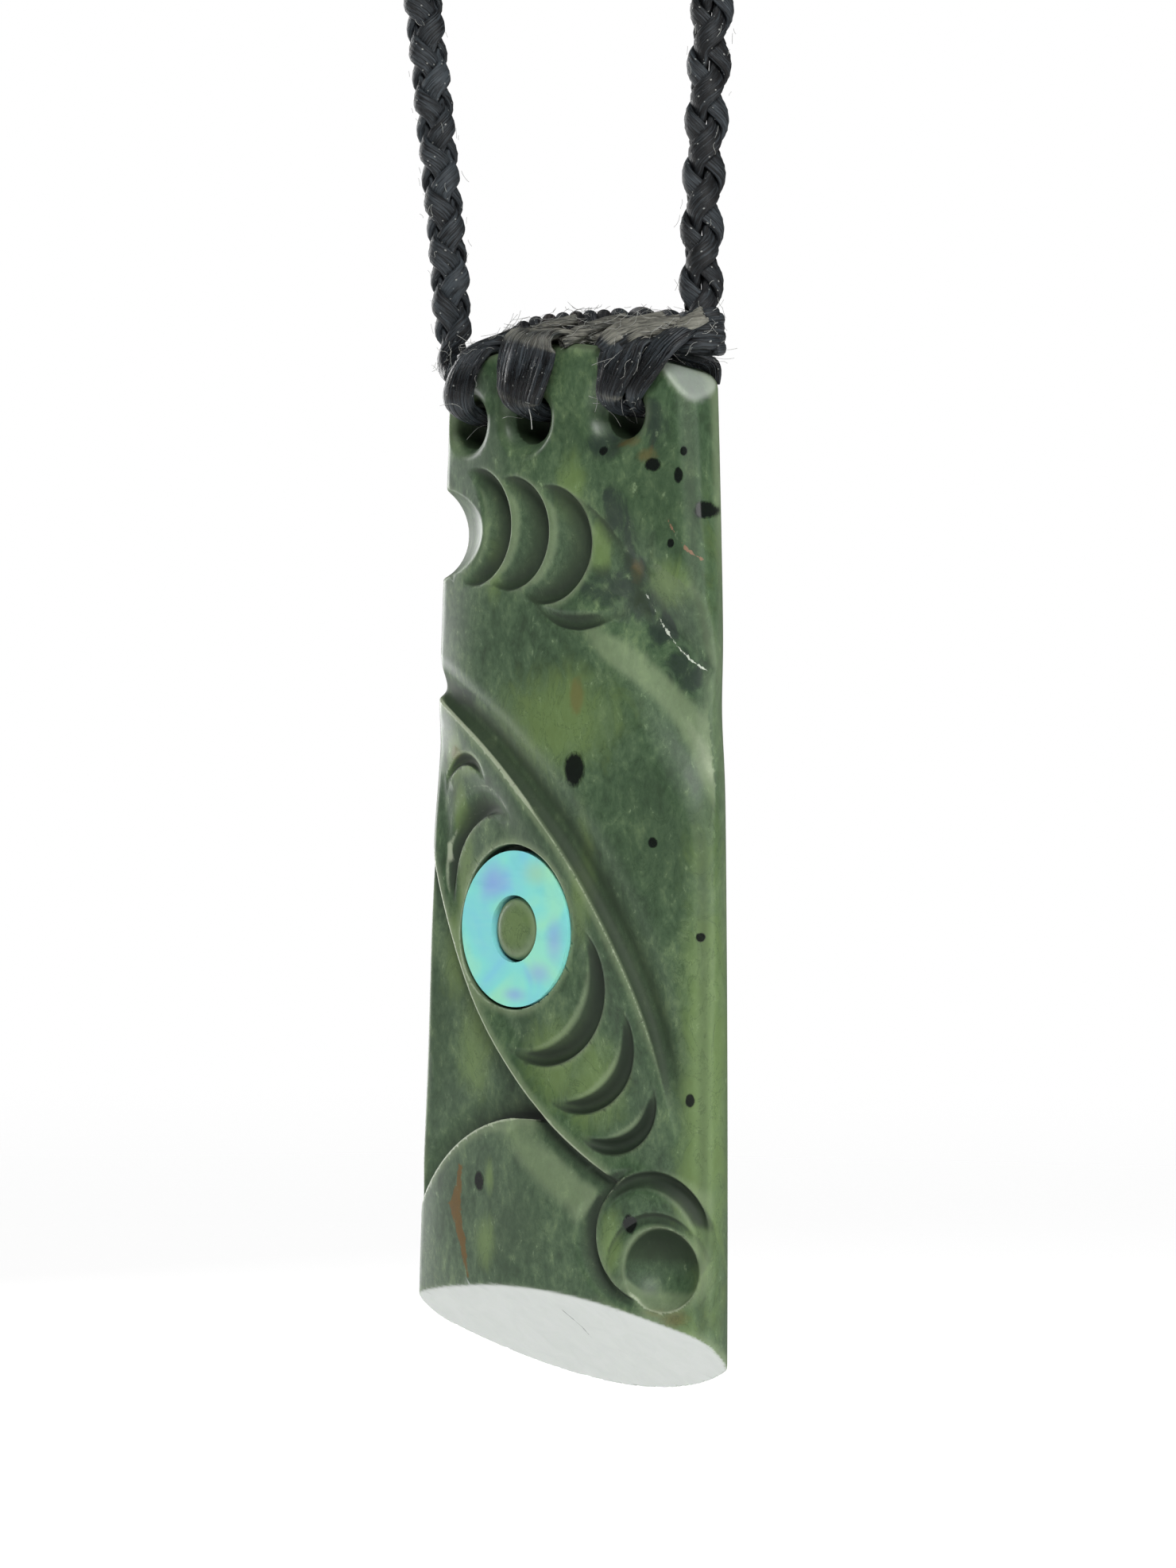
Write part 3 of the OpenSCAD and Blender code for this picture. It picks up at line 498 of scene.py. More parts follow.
def shade_carving(points, edge_highlight, broad_highlight, hollow, cut_shade):
    """Adds painted light and shade to the relief values: painted highlights on edges, ridges and lips, and painted
    shade in the cuts and hollows.
    """
    x, y, up = points.T
    across, depth = on_face(x, y)
    front = y < 0

    def out_of(circle):
        return beyond(circle, across, up)

    # Painted shade by the steep side of each cut and hook, in the brow's groove, and at the top of the curl's round
    # hollow
    _, brow_width, share = brow_groove(across, up)
    cut_shade = cut_shade + (0.3 * front * fade(share, 0.0, 0.12) * fade(share, 0.9, 0.25) * fade(brow_width, 0, 1.6)
                 * fade(up, 14, 24))
    cuts = [(-out_of(outer), out_of(inner)) for outer, inner, *_ in CRESCENTS]
    hooks = [(out_of(inner), -out_of(outer)) for inner, outer, _ in HOOKS]
    for near, far in cuts + hooks:
        inside = front * fade(near, -0.05, 0.1) * fade(far, -0.05, 0.2)
        cut_shade = cut_shade + 0.36 * inside * (1 - np.clip(near / np.maximum(near + far, 0.01), 0, 1)) ** 1.3
        # Painted highlight on each cut's inner lip
        broad_highlight = broad_highlight + 0.7 * inside * fade(far, 0.9, 0.1) * fade(near, 0.5, 1.5)
    # Painted highlight along each hook's outer edge
    for near, far in hooks:
        edge_highlight = edge_highlight + 4.5 * front * fade(near, 0.2, 0.6) * np.exp(-np.square((far - 0.15) / 0.2))
    in_ball = front * (out_of(CURL_HOLLOW) < 0)
    above = up - CURL_HOLLOW[0][1]
    cut_shade = cut_shade * (1 - in_ball) + in_ball * (0.06 + 0.6 * fade(above, -0.7, 1.9))
    hollow = hollow * (1 - 0.6 * in_ball) + 0.3 * in_ball * fade(above, 0.0, 2.0)
    # Painted highlight on the lower part of the round hollow
    broad_highlight = broad_highlight + 3.0 * in_ball * fade(above, -0.4, -2.2)
    edge_highlight = edge_highlight + 4.6 * in_ball * fade(above, -0.9, -2.2)
    # Painted light: the thin right side is painted pale
    side = fade(y, -0.4, 1.3) * fade(y, 4.5, 3.0) * fade(x, 8, 10) * fade(up, 24, 30)
    broad_highlight = broad_highlight + side * (0.9 + 0.7 * fade(up, 50, 58))
    # The painted shade is weaker on the countersinks
    for hole_x, sink_radius in HOLES:
        sink_out = np.hypot(x - hole_x, up - HOLE_HEIGHT) - sink_radius
        rim = front * fade(sink_out, 0.5, 0.1) * fade(depth, 2.0, 0.8)
        hollow, cut_shade = hollow * (1 - 0.75 * rim), cut_shade * (1 - 0.4 * rim)
    # Painted highlights on the valley's ridge, and on the lobe where it falls to the groove beside the eye field, with
    # less painted shade beside the eye field's edge
    ridge_out = out_of(RIDGE)
    on_ridge = front * fade(up, 37, 40)
    broad_highlight = broad_highlight + 2.8 * on_ridge * np.exp(-np.square(ridge_out / 0.85)) * fade(across, 2.5, 6)
    edge_highlight = edge_highlight + 4.4 * on_ridge * np.exp(-np.square((ridge_out + 0.2) / 0.8)) * fade(across, 7.5, 11)
    edge_out = out_of(FIELD_EDGE)
    beside = front * fade(edge_out, 0.0, 0.6) * fade(out_of(LOBE), 0.0, 0.6)
    hollow, cut_shade = hollow * (1 - 0.7 * beside), cut_shade * (1 - 0.5 * beside)
    broad_highlight = broad_highlight + (2.0 * front * fade(edge_out, 0.7, 2.0) * fade(edge_out, 5.0, 2.2) * fade(up, 19, 15)
                     * fade(up, 6, 12) * fade(out_of(CURL), 0.2, 1.2))
    # Painted highlights: the long edges catch the light as thin lines, but the brow's lower half is too blunt for one
    for circle, lowest, highest, furthest, strength, width in (
            (BROW_WALL, 36, 45, 11, 1.5, 0.18), (BROW_WALL, 12, 38, 11, -3, 0.35),
            (FIELD_EDGE, 14.5, 38, 11, 5, 0.13), (LOBE, 7, 18.2, 4, 4, 0.13)):
        shown = fade(up, lowest, lowest + 2) * fade(up, highest, highest - 1) * (depth < 0.6) * front
        edge_highlight = edge_highlight + strength * np.exp(-np.square(out_of(circle) / width)) * shown * (across < furthest)
    return dict(edge_highlight=edge_highlight, broad_highlight=broad_highlight, hollow=hollow, cut_shade=cut_shade)


def nephrite(look):
    """Nephrite, ground and polished to a satin: felted fine fibres give it clouded, slightly see-through greens."""
    made, tree = new_material("nephrite_satin_polished")
    place = add(tree, "Attribute", attribute_name="place").outputs["Vector"]
    # Clouds of about 8 mm, mottle of about 2 mm and felted grain of about 0.6 mm
    clouds = add(tree, "TexNoise", {"Vector": place, "Scale": 0.12, "Detail": 4, "Roughness": 0.6, "Distortion": 0.5})
    slanted = add(tree, "Mapping", {"Vector": place, "Rotation": (0, 0, math.radians(40)), "Scale": (1.0, 0.6, 1.0)})
    mottle = add(tree, "TexNoise", {
        "Vector": slanted, "Scale": 0.55, "Detail": 6, "Roughness": 0.65, "Distortion": 0.9})
    grain = add(tree, "TexNoise", {"Vector": slanted, "Scale": 1.7, "Detail": 6, "Roughness": 0.75, "Distortion": 0.3})
    blend = add(tree, "Math", {0: grain, 1: 0.42}, operation="MULTIPLY")
    for noise, share in ((mottle, 0.3), (clouds, 0.28)):
        blend = add(tree, "Math", {0: noise, 1: share, 2: blend}, operation="MULTIPLY_ADD")
    tint = add(tree, "ValToRGB", {"Fac": blend}, stops=[
        (0.40, look["deep"]), (0.47, look["green"]), (0.53, look["light"]), (0.61, look["yellow"])])
    vein = add(tree, "Math", {0: mottle, 1: 0.5}, operation="SUBTRACT")
    vein = add(tree, "Math", {0: vein}, operation="ABSOLUTE")
    hollow, cut_shade, broad_highlight, edge_highlight = [add(tree, "Attribute", attribute_name=name).outputs["Fac"]
                                 for name in ("hollow", "cut_shade", "broad_highlight", "edge_highlight")]
    deep, lime_and_light, soot_and_shade, rust, spots = [nearest_patch(tree, place, rows) for rows in (
        DEEP_ZONES, LIME_AND_LIGHT_PATCHES, SOOT_AND_SHADE_CLOUDS, RUST_PATCHES, BLACK_SPOTS)]
    fissure, crack, red_line = [line_distance(tree, place, rows) for rows in (FISSURE, WHITE_CRACK, RED_LINE)]
    # From the lowest layer up, as the arguments of lay_over
    for colour, *layer in (
            ("#2f432c", deep, 1.4, 0.3, 0.4, mottle, 1.8),
            # Lime patches, one of them painted light
            ("#728a4f", lime_and_light, 1.5, 0.3, 0.6, mottle, 2.0),
            # Dark clouds, partly painted shade in the valley
            ("#222b2a", soot_and_shade, 1.4, 0.5, 0.7, mottle, 3.0),
            ("#6a5a30", rust, 1.3, 0.3, 0.5, mottle, 2.5),
            ("#63480a", fissure, 0.12, 0.0, 0.97, grain, 0.9),
            # Specks of paler fibre, and thin dark veins
            ("#93a983", grain, 0.6, 0.74, 0.55),
            ("#24381f", vein, 0.014, 0.0, 0.4),
            # Painted shade in the cuts and crevices, and painted highlights on every edge and ridge
            ("#25341f", cut_shade, 0.02, 0.46, 0.82),
            ("#1a261a", hollow, 0.08, 0.5, 0.75),
            ("#8b9c78", broad_highlight, 0.5, 2.0, 0.45),
            ("#c3ccb2", edge_highlight, 3.2, 7.0, 0.5, grain, 2.0),
            ("#0b100e", spots, 1.15, 0.75, 0.97, grain, 0.9),
            ("#d3dbcb", crack, 0.02, -0.02, 0.8, grain, 1.2),
            ("#8c6a55", red_line, 0.02, -0.02, 0.8, grain, 1.2)):
        tint = lay_over(tree, tint, linear(colour), *layer)
    # The ground bevel is far paler, partly as ground stone is and partly as a painted reflection of the white table,
    # with a few hairlines
    ground = add(tree, "Mix", {0: mottle, 6: linear("#dadeda"), 7: linear("#c3cac4")}, data_type="RGBA")
    hair = line_distance(tree, place, BEVEL_HAIR, 9.0)
    ground = lay_over(tree, ground, linear("#5f6a62"), hair, 0.03, 0.0, 0.7, grain, 0.4)
    bevel = add(tree, "Attribute", attribute_name="bevel").outputs["Fac"]
    tint = add(tree, "Mix", {0: bevel, 6: tint, 7: ground}, data_type="RGBA")

    # The wheel doesn't reach into the cuts, which stay matt, and the black spots take the best polish
    rough = add(tree, "MapRange", {"Value": cut_shade, "From Min": 0.01, "From Max": 0.12, "To Min": 0.27, "To Max": 0.6})
    rough = add(tree, "Math", {0: grain, 1: 0.12, 2: rough}, operation="MULTIPLY_ADD")
    polish = add(tree, "MapRange", {"Value": spots, "From Min": 1.1, "From Max": 0.8, "To Min": 1.0, "To Max": 0.35})
    rough = add(tree, "Math", {0: rough, 1: polish}, operation="MULTIPLY")
    bump = add(tree, "Bump", {"Height": grain, "Strength": 0.07, "Distance": 0.00003})
    surface = add(tree, "BsdfPrincipled", {
        "Base Color": tint, "Roughness": rough, "IOR": 1.62, "Specular IOR Level": 0.3, "Normal": bump,
        "Subsurface Weight": 0.12, "Subsurface Radius": (0.7, 1.0, 0.5), "Subsurface Scale": 0.0004})
    add(tree, "OutputMaterial", {"Surface": surface})
    return made


def shell(look):
    """Paua shell, sliced and polished flat: thin layers split the light into mint, turquoise and violet clouds."""
    made, tree = new_material("paua_shell_polished")
    # Millimetres as on the stone: across, up from the cutting edge, and back
    in_mm = add(tree, "Mapping", {"Vector": add(tree, "TexCoord").outputs["Object"], "Scale": (1000, 1000, 1000),
                                  "Location": (0, 0, NAPE_UP)})
    x, y, up = add(tree, "SeparateXYZ", {0: in_mm}).outputs
    place = add(tree, "CombineXYZ", {0: x, 1: up, 2: add(tree, "Math", {0: y, 1: 0.3}, operation="MULTIPLY")})
    # Clouds of about 4 mm, and layers about 1 mm wide
    clouds = add(tree, "TexNoise", {"Vector": place, "Scale": 0.24, "Detail": 2, "Roughness": 0.45, "Distortion": 0.8})
    slanted = add(tree, "Mapping", {"Vector": place, "Rotation": (0, 0, 0.5), "Scale": (0.6, 1.8, 1.0)})
    layers = add(tree, "TexNoise", {"Vector": slanted, "Scale": 0.6, "Detail": 4, "Distortion": 0.6})
    tint = add(tree, "ValToRGB", {"Fac": clouds}, stops=[
        (0.3, look["blue"]), (0.5, look["turquoise"]), (0.68, look["mint"])])
    for colour, *layer in (
            (look["violet"], nearest_patch(tree, place, VIOLET_PATCHES), 1.3, 0.0, 0.7, clouds, 0.9),
            (look["gold"], nearest_patch(tree, place, GOLD_PATCHES), 1.3, 0.0, 0.5, clouds, 0.9),
            (linear("#b4e8dc"), layers, 0.5, 0.8, 0.12),
            (linear("#4fa9b4"), layers, 0.5, 0.25, 0.12)):
        tint = lay_over(tree, tint, colour, *layer)
    surface = add(tree, "BsdfPrincipled", {
        "Base Color": tint, "Roughness": 0.16, "IOR": 1.56, "Coat Weight": 0.4, "Coat Roughness": 0.05})
    add(tree, "OutputMaterial", {"Surface": surface})
    return made


# Middle lines of the neck cord's halves, [across, height above the cutting edge] in millimetres. Both sides of the
# loop are alike above the lowest part
LOOP_SIDE = [
    (33, 168), (40, 194), (47, 220), (53, 246), (56.5, 270), (57, 288), (54, 305), (47, 321), (36, 335), (21, 345),
    (12, 348.4), (4.5, 350), (0.15, 350.1)]
LEFT_ROUTE = [
    (-11.4, 66.5), (-12, 73), (-12.9, 79), (-14.6, 90), (-16.7, 104), (-20.4, 122), (-26, 144),
    *((-across, up) for across, up in LOOP_SIDE)]
RIGHT_ROUTE = [
    (10.2, 66.4), (10.2, 73), (10.4, 79), (11.1, 90), (13.3, 104), (18, 122), (25, 144), *LOOP_SIDE]
# Lashing bundles as rows of [across, forward, up, width, thickness] in millimetres
START_ROWS = [
    (-10.4, -2.3, 66.6, 1.5, 1), (-9.9, -2.85, 65.9, 1.6, 0.9), (-9.3, -3.15, 65.1, 1.7, 0.9),
    (-8.7, -3.5, 64.2, 1.8, 0.9), (-8.2, -3.75, 63.4, 1.8, 0.9), (-8, -3.2, 62.9, 1.9, 1.1),
    (-8, -2.4, 62.75, 1.9, 1.2), (-8, -0.9, 62.75, 1.9, 1.2)]
LEFT_ROWS = [
    (-8, -0.6, 62.75, 1.9, 1.2), (-8, 1.2, 62.75, 1.9, 1.2), (-7.95, 2.2, 62.9, 2.2, 1.1),
    (-7.8, 3.2, 63.35, 2.5, 0.9), (-7.5, 3.55, 64.1, 2.6, 0.9), (-7.2, 3.5, 65.2, 2.5, 0.9),
    (-6.95, 3.05, 66.2, 2.4, 0.8), (-6.75, 2.7, 66.65, 2.5, 0.8), (-6.5, 2.5, 67.0, 2.4, 0.7),
    (-6.2, 1, 66.8, 2.5, 0.5), (-5.5, -1, 66.75, 2.4, 0.5), (-4.6, -2.6, 66.75, 2.3, 0.5),
    (-3.9, -4.25, 66.8, 2.5, 0.6),
    (-3.6, -4.7, 66.65, 2.4, 0.6), (-3.3, -4.9, 66.25, 2.3, 0.6), (-2.8, -5.1, 65.3, 2.6, 0.8),
    (-2.3, -5.15, 64.1, 2.5, 0.8), (-2, -5.25, 63.3, 2.2, 0.9), (-2, -4.2, 62.9, 2, 1.1),
    (-2, -3.2, 62.75, 1.9, 1.2), (-2, -0.9, 62.75, 1.9, 1.2)]
MIDDLE_ROWS = [
    (-2, -0.6, 62.75, 2.3, 1.2), (-2, 2, 62.75, 2.3, 1.2), (-2.05, 2.95, 62.95, 2.6, 1.1),
    (-1.95, 3.8, 63.45, 3.2, 0.9), (-1.5, 4.0, 64.2, 4.3, 0.9), (-1.25, 3.95, 65.4, 5.0, 0.8),
    (-1.0, 3.75, 66.9, 5.1, 0.7), (-0.8, 3.5, 67.35, 5.0, 0.7), (-0.5, 3.1, 67.5, 4.8, 0.7),
    (0.4, 1.2, 67.3, 3.9, 0.6), (1.5, -0.8, 67.05, 3.3, 0.6), (2.7, -2.5, 66.8, 3, 0.6),
    (3.6, -4.3, 66.55, 2.8, 0.6), (3.95, -4.6, 66.35, 2.7, 0.6), (4.3, -4.7, 65.9, 2.6, 0.6),
    (5, -4.65, 65.1, 2.8, 0.8), (5.5, -4.55, 64.1, 2.6, 0.8), (5.7, -4.55, 63.3, 2.2, 0.9),
    (5.7, -3.7, 62.9, 2, 1.1), (5.7, -2.8, 62.75, 1.9, 1.2), (5.7, -0.9, 62.75, 1.9, 1.2)]
RIGHT_ROWS = [
    (5.1, -0.6, 62.75, 1.5, 1.2), (5.1, 1.7, 62.75, 1.5, 1.2), (5.15, 2.6, 62.9, 1.6, 1.1),
    (5.5, 3.45, 63.4, 1.8, 0.9), (5.95, 3.5, 64.15, 2.7, 0.9), (6.3, 3.45, 65.2, 3.5, 0.8),
    (6.6, 3.25, 66.1, 3.9, 0.7), (6.8, 3.05, 66.5, 3.9, 0.7), (7.0, 2.65, 66.6, 3.7, 0.7),
    (7.4, 0.9, 66.35, 2.8, 0.6), (7.9, -0.8, 66.05, 2.5, 0.6), (8.25, -2, 65.85, 2.2, 0.6),
    (8.2, -2.9, 65.75, 1.8, 0.6), (8.25, -3.3, 65.5, 1.6, 0.6), (8.3, -3.35, 65, 1.5, 0.6),
    (8.3, -3.3, 64.3, 1.2, 0.5)]
END_ROWS = [
    (6.45, -0.6, 62.75, 0.8, 1.1), (6.45, 1.5, 62.75, 0.8, 1.1), (6.7, 2.4, 62.95, 0.9, 1),
    (7.55, 3.15, 63.45, 1.2, 1), (8.1, 3.05, 64.2, 1.6, 1), (8.65, 2.9, 65.2, 2.1, 1), (9.15, 2.7, 66, 2.3, 1.1),
    (9.7, 2.1, 66.7, 2.3, 1.2), (10.05, 1.3, 67.3, 2.0, 1.2), (10.2, 0.6, 67.9, 1.6, 1.2)]
# Lashing bundles: name, rows, share of the threads, turns that they twist, wear over the top, fraying, hairs, seed
LASHING = (
    ("start", START_ROWS, 0.35, 0.15, 0.1, 0.2, 20, 3),
    ("left", LEFT_ROWS, 0.7, 0.12, 0.3, 0.1, 30, 4),
    ("middle", MIDDLE_ROWS, 1.0, 0.14, 0.75, 0.7, 45, 5),
    ("right", RIGHT_ROWS, 0.75, 0.1, 0.85, 0.7, 60, 6),
    ("end", END_ROWS, 0.4, 0.25, 0.2, 0.2, 20, 7),
)
# Loose ropes of thread, in the bundles' form: one from the left braid's foot, and the others up to the top cord
LOOSE_ROPES = {
    "start": [
        [(-11.5, 0.0, 67.8, 1.8, 1.4), (-11.0, 0.9, 66.8, 1.9, 1.3), (-10.0, 1.9, 66.0, 1.7, 1.1),
         (-8.9, 2.6, 65.4, 1.4, 0.9)]],
    "left": [
        [(-7.9, 2.9, 66.2, 1.4, 0.8), (-6.9, 2.5, 67.0, 1.5, 0.9), (-5.6, 1.5, 67.7, 1.3, 0.8),
         (-4.2, 0.4, 68.2, 1.1, 0.7)]],
    "middle": [
        [(-3.1, 3.2, 66.9, 1.5, 0.9), (-2.4, 2.4, 67.7, 1.6, 0.9), (-1.4, 1.2, 68.3, 1.4, 0.8),
         (-0.2, 0.2, 68.7, 1.1, 0.7)],
        [(1.2, 3.1, 66.9, 1.4, 0.9), (2.0, 2.1, 67.6, 1.5, 0.9), (3.0, 1.0, 68.2, 1.4, 0.8),
         (4.0, 0.1, 68.5, 1.1, 0.7)],
        [(0.6, 2.6, 66.9, 1.6, 0.9), (1.8, 1.6, 67.2, 1.7, 0.9), (3.2, 0.8, 67.4, 1.7, 0.9),
         (4.6, 0.2, 67.5, 1.3, 0.8)]],
    "right": [
        [(4.9, 3.2, 66.2, 1.7, 0.9), (5.5, 3.0, 67.1, 2.0, 1.0), (6.6, 2.1, 67.8, 2.0, 1.0),
         (7.8, 0.8, 68.2, 1.6, 0.9)],
        [(6.6, 3.1, 66.2, 1.7, 0.9), (7.3, 2.8, 67.0, 2.0, 1.0), (8.4, 1.9, 67.6, 2.0, 1.0),
         (9.7, 0.8, 67.9, 1.6, 0.9)],
        [(8.0, 2.6, 66.0, 1.2, 0.8), (8.8, 2.2, 66.7, 1.5, 0.9), (9.9, 1.6, 67.3, 1.7, 1.0),
         (11.3, 0.9, 68.2, 1.4, 1.0)]],
}
# A pale fibre that hangs out of the middle hole, as [across, forward, up]
PALE_FIBRE = [(-1.5, 3.5, 63.4), (-1.25, 3.45, 62.8), (-1.2, 3.3, 62.2), (-1.3, 3.1, 61.5)]
# Middle line of the cord along the top, [across, up], and how far back it lies
TOP_CORD_ROUTE = [
    (-8.9, 67.1), (-7.2, 67.9), (-5.4, 68.5), (-2.5, 68.65), (0.5, 68.6), (3.5, 68.5), (6.3, 68.15), (8.9, 67.7)]
TOP_CORD_BACK = 1.1


def smooth_line(rows, spacing, rounds):
    """Rows resampled at an even spacing along their first three columns, with the corners rounded."""
    rows = np.array(rows, float)
    at = np.concatenate([[0], np.cumsum(np.linalg.norm(np.diff(rows[:, :3], axis=0), axis=1))])
    even = np.linspace(0, at[-1], max(int(at[-1] / spacing), 4) + 1)
    line = np.stack([np.interp(even, at, column) for column in rows.T], axis=1)
    for _ in range(rounds):
        line[1:-1] = (line[:-2] + 2 * line[1:-1] + line[2:]) / 4
    return line


# Tone runs from 0 to 1 from thread to thread, and a loose pale hair has this tone
HAIR_TONE = 2.0


def unit(vectors):
    """The vectors at length 1."""
    return vectors / np.maximum(np.linalg.norm(vectors, axis=-1, keepdims=True), 1e-9)


def tube(line, outward, wide, thick, count, tone, wear=0.0):
    """Closed tube with half widths wide and thick: points, triangles, and each point's lay, tone and wear."""
    along = unit(np.gradient(line, axis=0))
    side = unit(np.cross(along, outward))
    out = np.cross(side, along)
    angle = 2 * math.pi * np.arange(count) / count
    wide, thick = np.broadcast_to(wide, len(line))[:, None], np.broadcast_to(thick, len(line))[:, None]
    u, v = wide * np.cos(angle), thick * np.sin(angle)
    points = line[:, None] + side[:, None] * u[..., None] + out[:, None] * v[..., None]
    ring, corner = np.arange(len(line) - 1)[:, None] * count, np.arange(count)
    a, b = ring + corner, ring + (corner + 1) % count
    walls = np.concatenate([np.stack([a, b, b + count], -1).reshape(-1, 3),
                            np.stack([a, b + count, a + count], -1).reshape(-1, 3)])
    cap = np.stack([np.zeros(count - 2, int), corner[2:], corner[1:-1]], 1)
    faces = np.concatenate([walls, cap, cap[:, ::-1] + (len(line) - 1) * count])
    run = np.concatenate([[0], np.cumsum(np.linalg.norm(np.diff(line, axis=0), axis=1))])
    lay = np.stack([np.broadcast_to(run[:, None], u.shape), u, v], -1)
    wear = np.broadcast_to(np.broadcast_to(wear, len(line))[:, None], u.shape)
    return points.reshape(-1, 3), faces, lay.reshape(-1, 3), np.full(points.size // 3, tone), wear.ravel()


def make_threads(name, tubes, material, slot, node):
    """One piece of many tubes."""
    starts = np.cumsum([0] + [len(t[0]) for t in tubes[:-1]])
    points, lay, tone, wear = [np.concatenate([t[i] for t in tubes]) for i in (0, 2, 3, 4)]
    faces = np.concatenate([t[1] + start for t, start in zip(tubes, starts)])
    return make_piece(name, points, faces, material, slot, node, lay=lay, tone=tone, wear=wear)


def hairs(middle, side, out, half_wide, half_thick, count, longest, rng):
    """Short loose hairs on a thread's surface, which lie along it and lift at one end."""
    along = unit(np.gradient(middle, axis=0))
    half_wide, half_thick = np.broadcast_to(half_wide, len(middle)), np.broadcast_to(half_thick, len(middle))
    share, radius, found = np.linspace(0, 1, 6)[:, None], 0.015, []
    for _ in range(count):
        i = rng.integers(1, len(middle) - 1)
        angle, length = rng.uniform(0, 2 * math.pi), rng.uniform(0.3, 1.0) * longest
        root = middle[i] + side[i] * half_wide[i] * math.cos(angle) + out[i] * half_thick[i] * math.sin(angle)
        lift = unit(side[i] * math.cos(angle) + out[i] * math.sin(angle))
        lean = rng.normal(0, 0.5)
        way = unit(along[i] * rng.choice((-1, 1)) + np.cross(along[i], lift) * lean)
        line = root + way * length * share + lift * (rng.uniform(0.05, 0.5) * length * share ** 2 + 0.02)
        line = line + np.cross(way, lift) * 0.12 * length * np.sin(share * rng.uniform(2, 6))
        found.append(tube(line, np.broadcast_to(lift, line.shape), radius, radius, 3, HAIR_TONE, 1.0))
    return found


def curve_through(route, spacing):
    """Points at an even spacing on the smooth curve through a route, as the source draws it."""
    route = np.array(route, float)
    ends = np.concatenate([route[:1], route, route[-1:]])
    t = np.linspace(0, 1, 60, endpoint=False)[:, None]
    found = []
    for a, b, c, d in zip(ends, ends[1:], ends[2:], ends[3:]):
        found.append(0.5 * (2 * b + (c - a) * t + (2 * a - 5 * b + 4 * c - d) * t ** 2
                            + (3 * b - a - 3 * c + d) * t ** 3))
    line = np.concatenate(found + [route[-1:]])
    at = np.concatenate([[0], np.cumsum(np.linalg.norm(np.diff(line, axis=0), axis=1))])
    even = np.linspace(0, at[-1], int(at[-1] / spacing) + 1)
    return even, np.stack([np.interp(even, at, column) for column in line.T], axis=1)


def plait(route, diameter, pitch, start_turn, seed):
    """The four strands of a round plait along a route in the plane of the loop, and its loose hairs."""
    spacing, corners, first_crossing, hair_count, longest_hair = 0.26, 14, 2.1, 420, 0.9
    run, flat = curve_through(route, spacing)
    middle = np.stack([flat[:, 0], np.zeros(len(run)), flat[:, 1]], axis=1)
    back = np.array([0.0, 1.0, 0.0])
    aside = np.cross(unit(np.gradient(middle, axis=0)), back)
    # The plait is drawn in at its foot, where it is bound
    half = diameter / 2 * (0.62 + 0.38 * fade(run, 0, 3.0))
    thick, sway, middle_radius, wide = 0.25 * half, 0.25 * half, 0.5 * half, 0.54 * half
    once_round = 2 * math.pi * (run - first_crossing) / pitch
    rng = np.random.default_rng(seed)
    tubes = []
    for turn_way in (1, -1):
        for strand in (0, 1):
            wander = 0.05 * np.sin(run * 0.83 + rng.uniform(0, 6)) + 0.04 * np.sin(run * 2.1 + rng.uniform(0, 6))
            angle = turn_way * once_round + math.pi * strand + start_turn + wander
            # The strands that turn one way pass over and under those that turn the other way
            radius = middle_radius + turn_way * sway * np.cos(2 * once_round)
            outward = back * np.cos(angle)[:, None] + aside * np.sin(angle)[:, None]
            line = middle + outward * radius[:, None]
            bulk = 1 + 0.06 * np.sin(run * 1.31 + rng.uniform(0, 6))
            tubes.append(tube(line, outward, wide * bulk, thick * bulk, corners, rng.uniform(), 0.15))
    return tubes + hairs(middle, np.broadcast_to(back, middle.shape), aside, half, half, hair_count, longest_hair, rng)


def bundle(rows, threads, radius, turns, worn, frayed, hair_count, seed):
    """A flat bundle: a packed core, single threads laid over it, and loose hairs."""
    spacing, rounds, core_corners, thread_corners, longest_hair = 0.28, 4, 20, 4, 1.6
    line = smooth_line(rows, spacing, rounds)
    middle = line[:, :3] * (1, -1, 1)
    along = unit(np.gradient(middle, axis=0))
    side = unit(np.array([1.0, 0, 0]) - along[:, :1] * along)
    out = np.cross(along, side)
    run = np.linspace(0, 1, len(line))
    rng = np.random.default_rng(seed)
    half_wide, half_thick = line[:, 3] / 2, line[:, 4] / 2
    back, up = middle[:, 1], middle[:, 2]
    # It is rubbed grey over the top edge, and frayed where it bends into the hole
    wear = worn * fade(up, 65.8, 67.0) * (1 - fade(back, 3.5, 5.0))
    wear = np.maximum(wear, frayed * np.exp(-np.square((up - 63.5) / 0.45)) * (back < 0))
    tubes = [tube(middle, out, half_wide - 0.16, half_thick - 0.14, core_corners, 0.1, 0.5 * wear)]
    # Even places round the bundle's oval
    turn = np.linspace(0, 2 * math.pi, 240)
    step = np.hypot(half_wide.mean() * np.sin(turn), half_thick.mean() * np.cos(turn))
    spread = np.cumsum(step) / step.sum()
    for k in range(threads):
        share = (k + rng.uniform(-0.4, 0.4)) / threads + turns * run
        share = share + 0.012 * np.sin(run * rng.uniform(8, 20) + rng.uniform(0, 6))
        angle = np.interp(share % 1.0, spread, turn)
        size = radius * rng.uniform(0.75, 1.25)
        proud = rng.uniform(-0.05, 0.02) + 0.14 * frayed * rng.uniform() ** 3 * wear
        u, v = (half_wide - size + proud) * np.cos(angle), (half_thick - size + proud) * np.sin(angle)
        centre = middle + side * u[:, None] + out * v[:, None]
        facing = side * (u / half_wide)[:, None] + out * (v / half_thick)[:, None]
        tubes.append(tube(centre, unit(facing), size * 1.2, size * 0.9, thread_corners, rng.uniform(), wear))
    # No hair stands at the bundle's two ends
    outside = slice(4, -4)
    return tubes + hairs(middle[outside], side[outside], out[outside], half_wide[outside], half_thick[outside],
                         hair_count, longest_hair, rng)


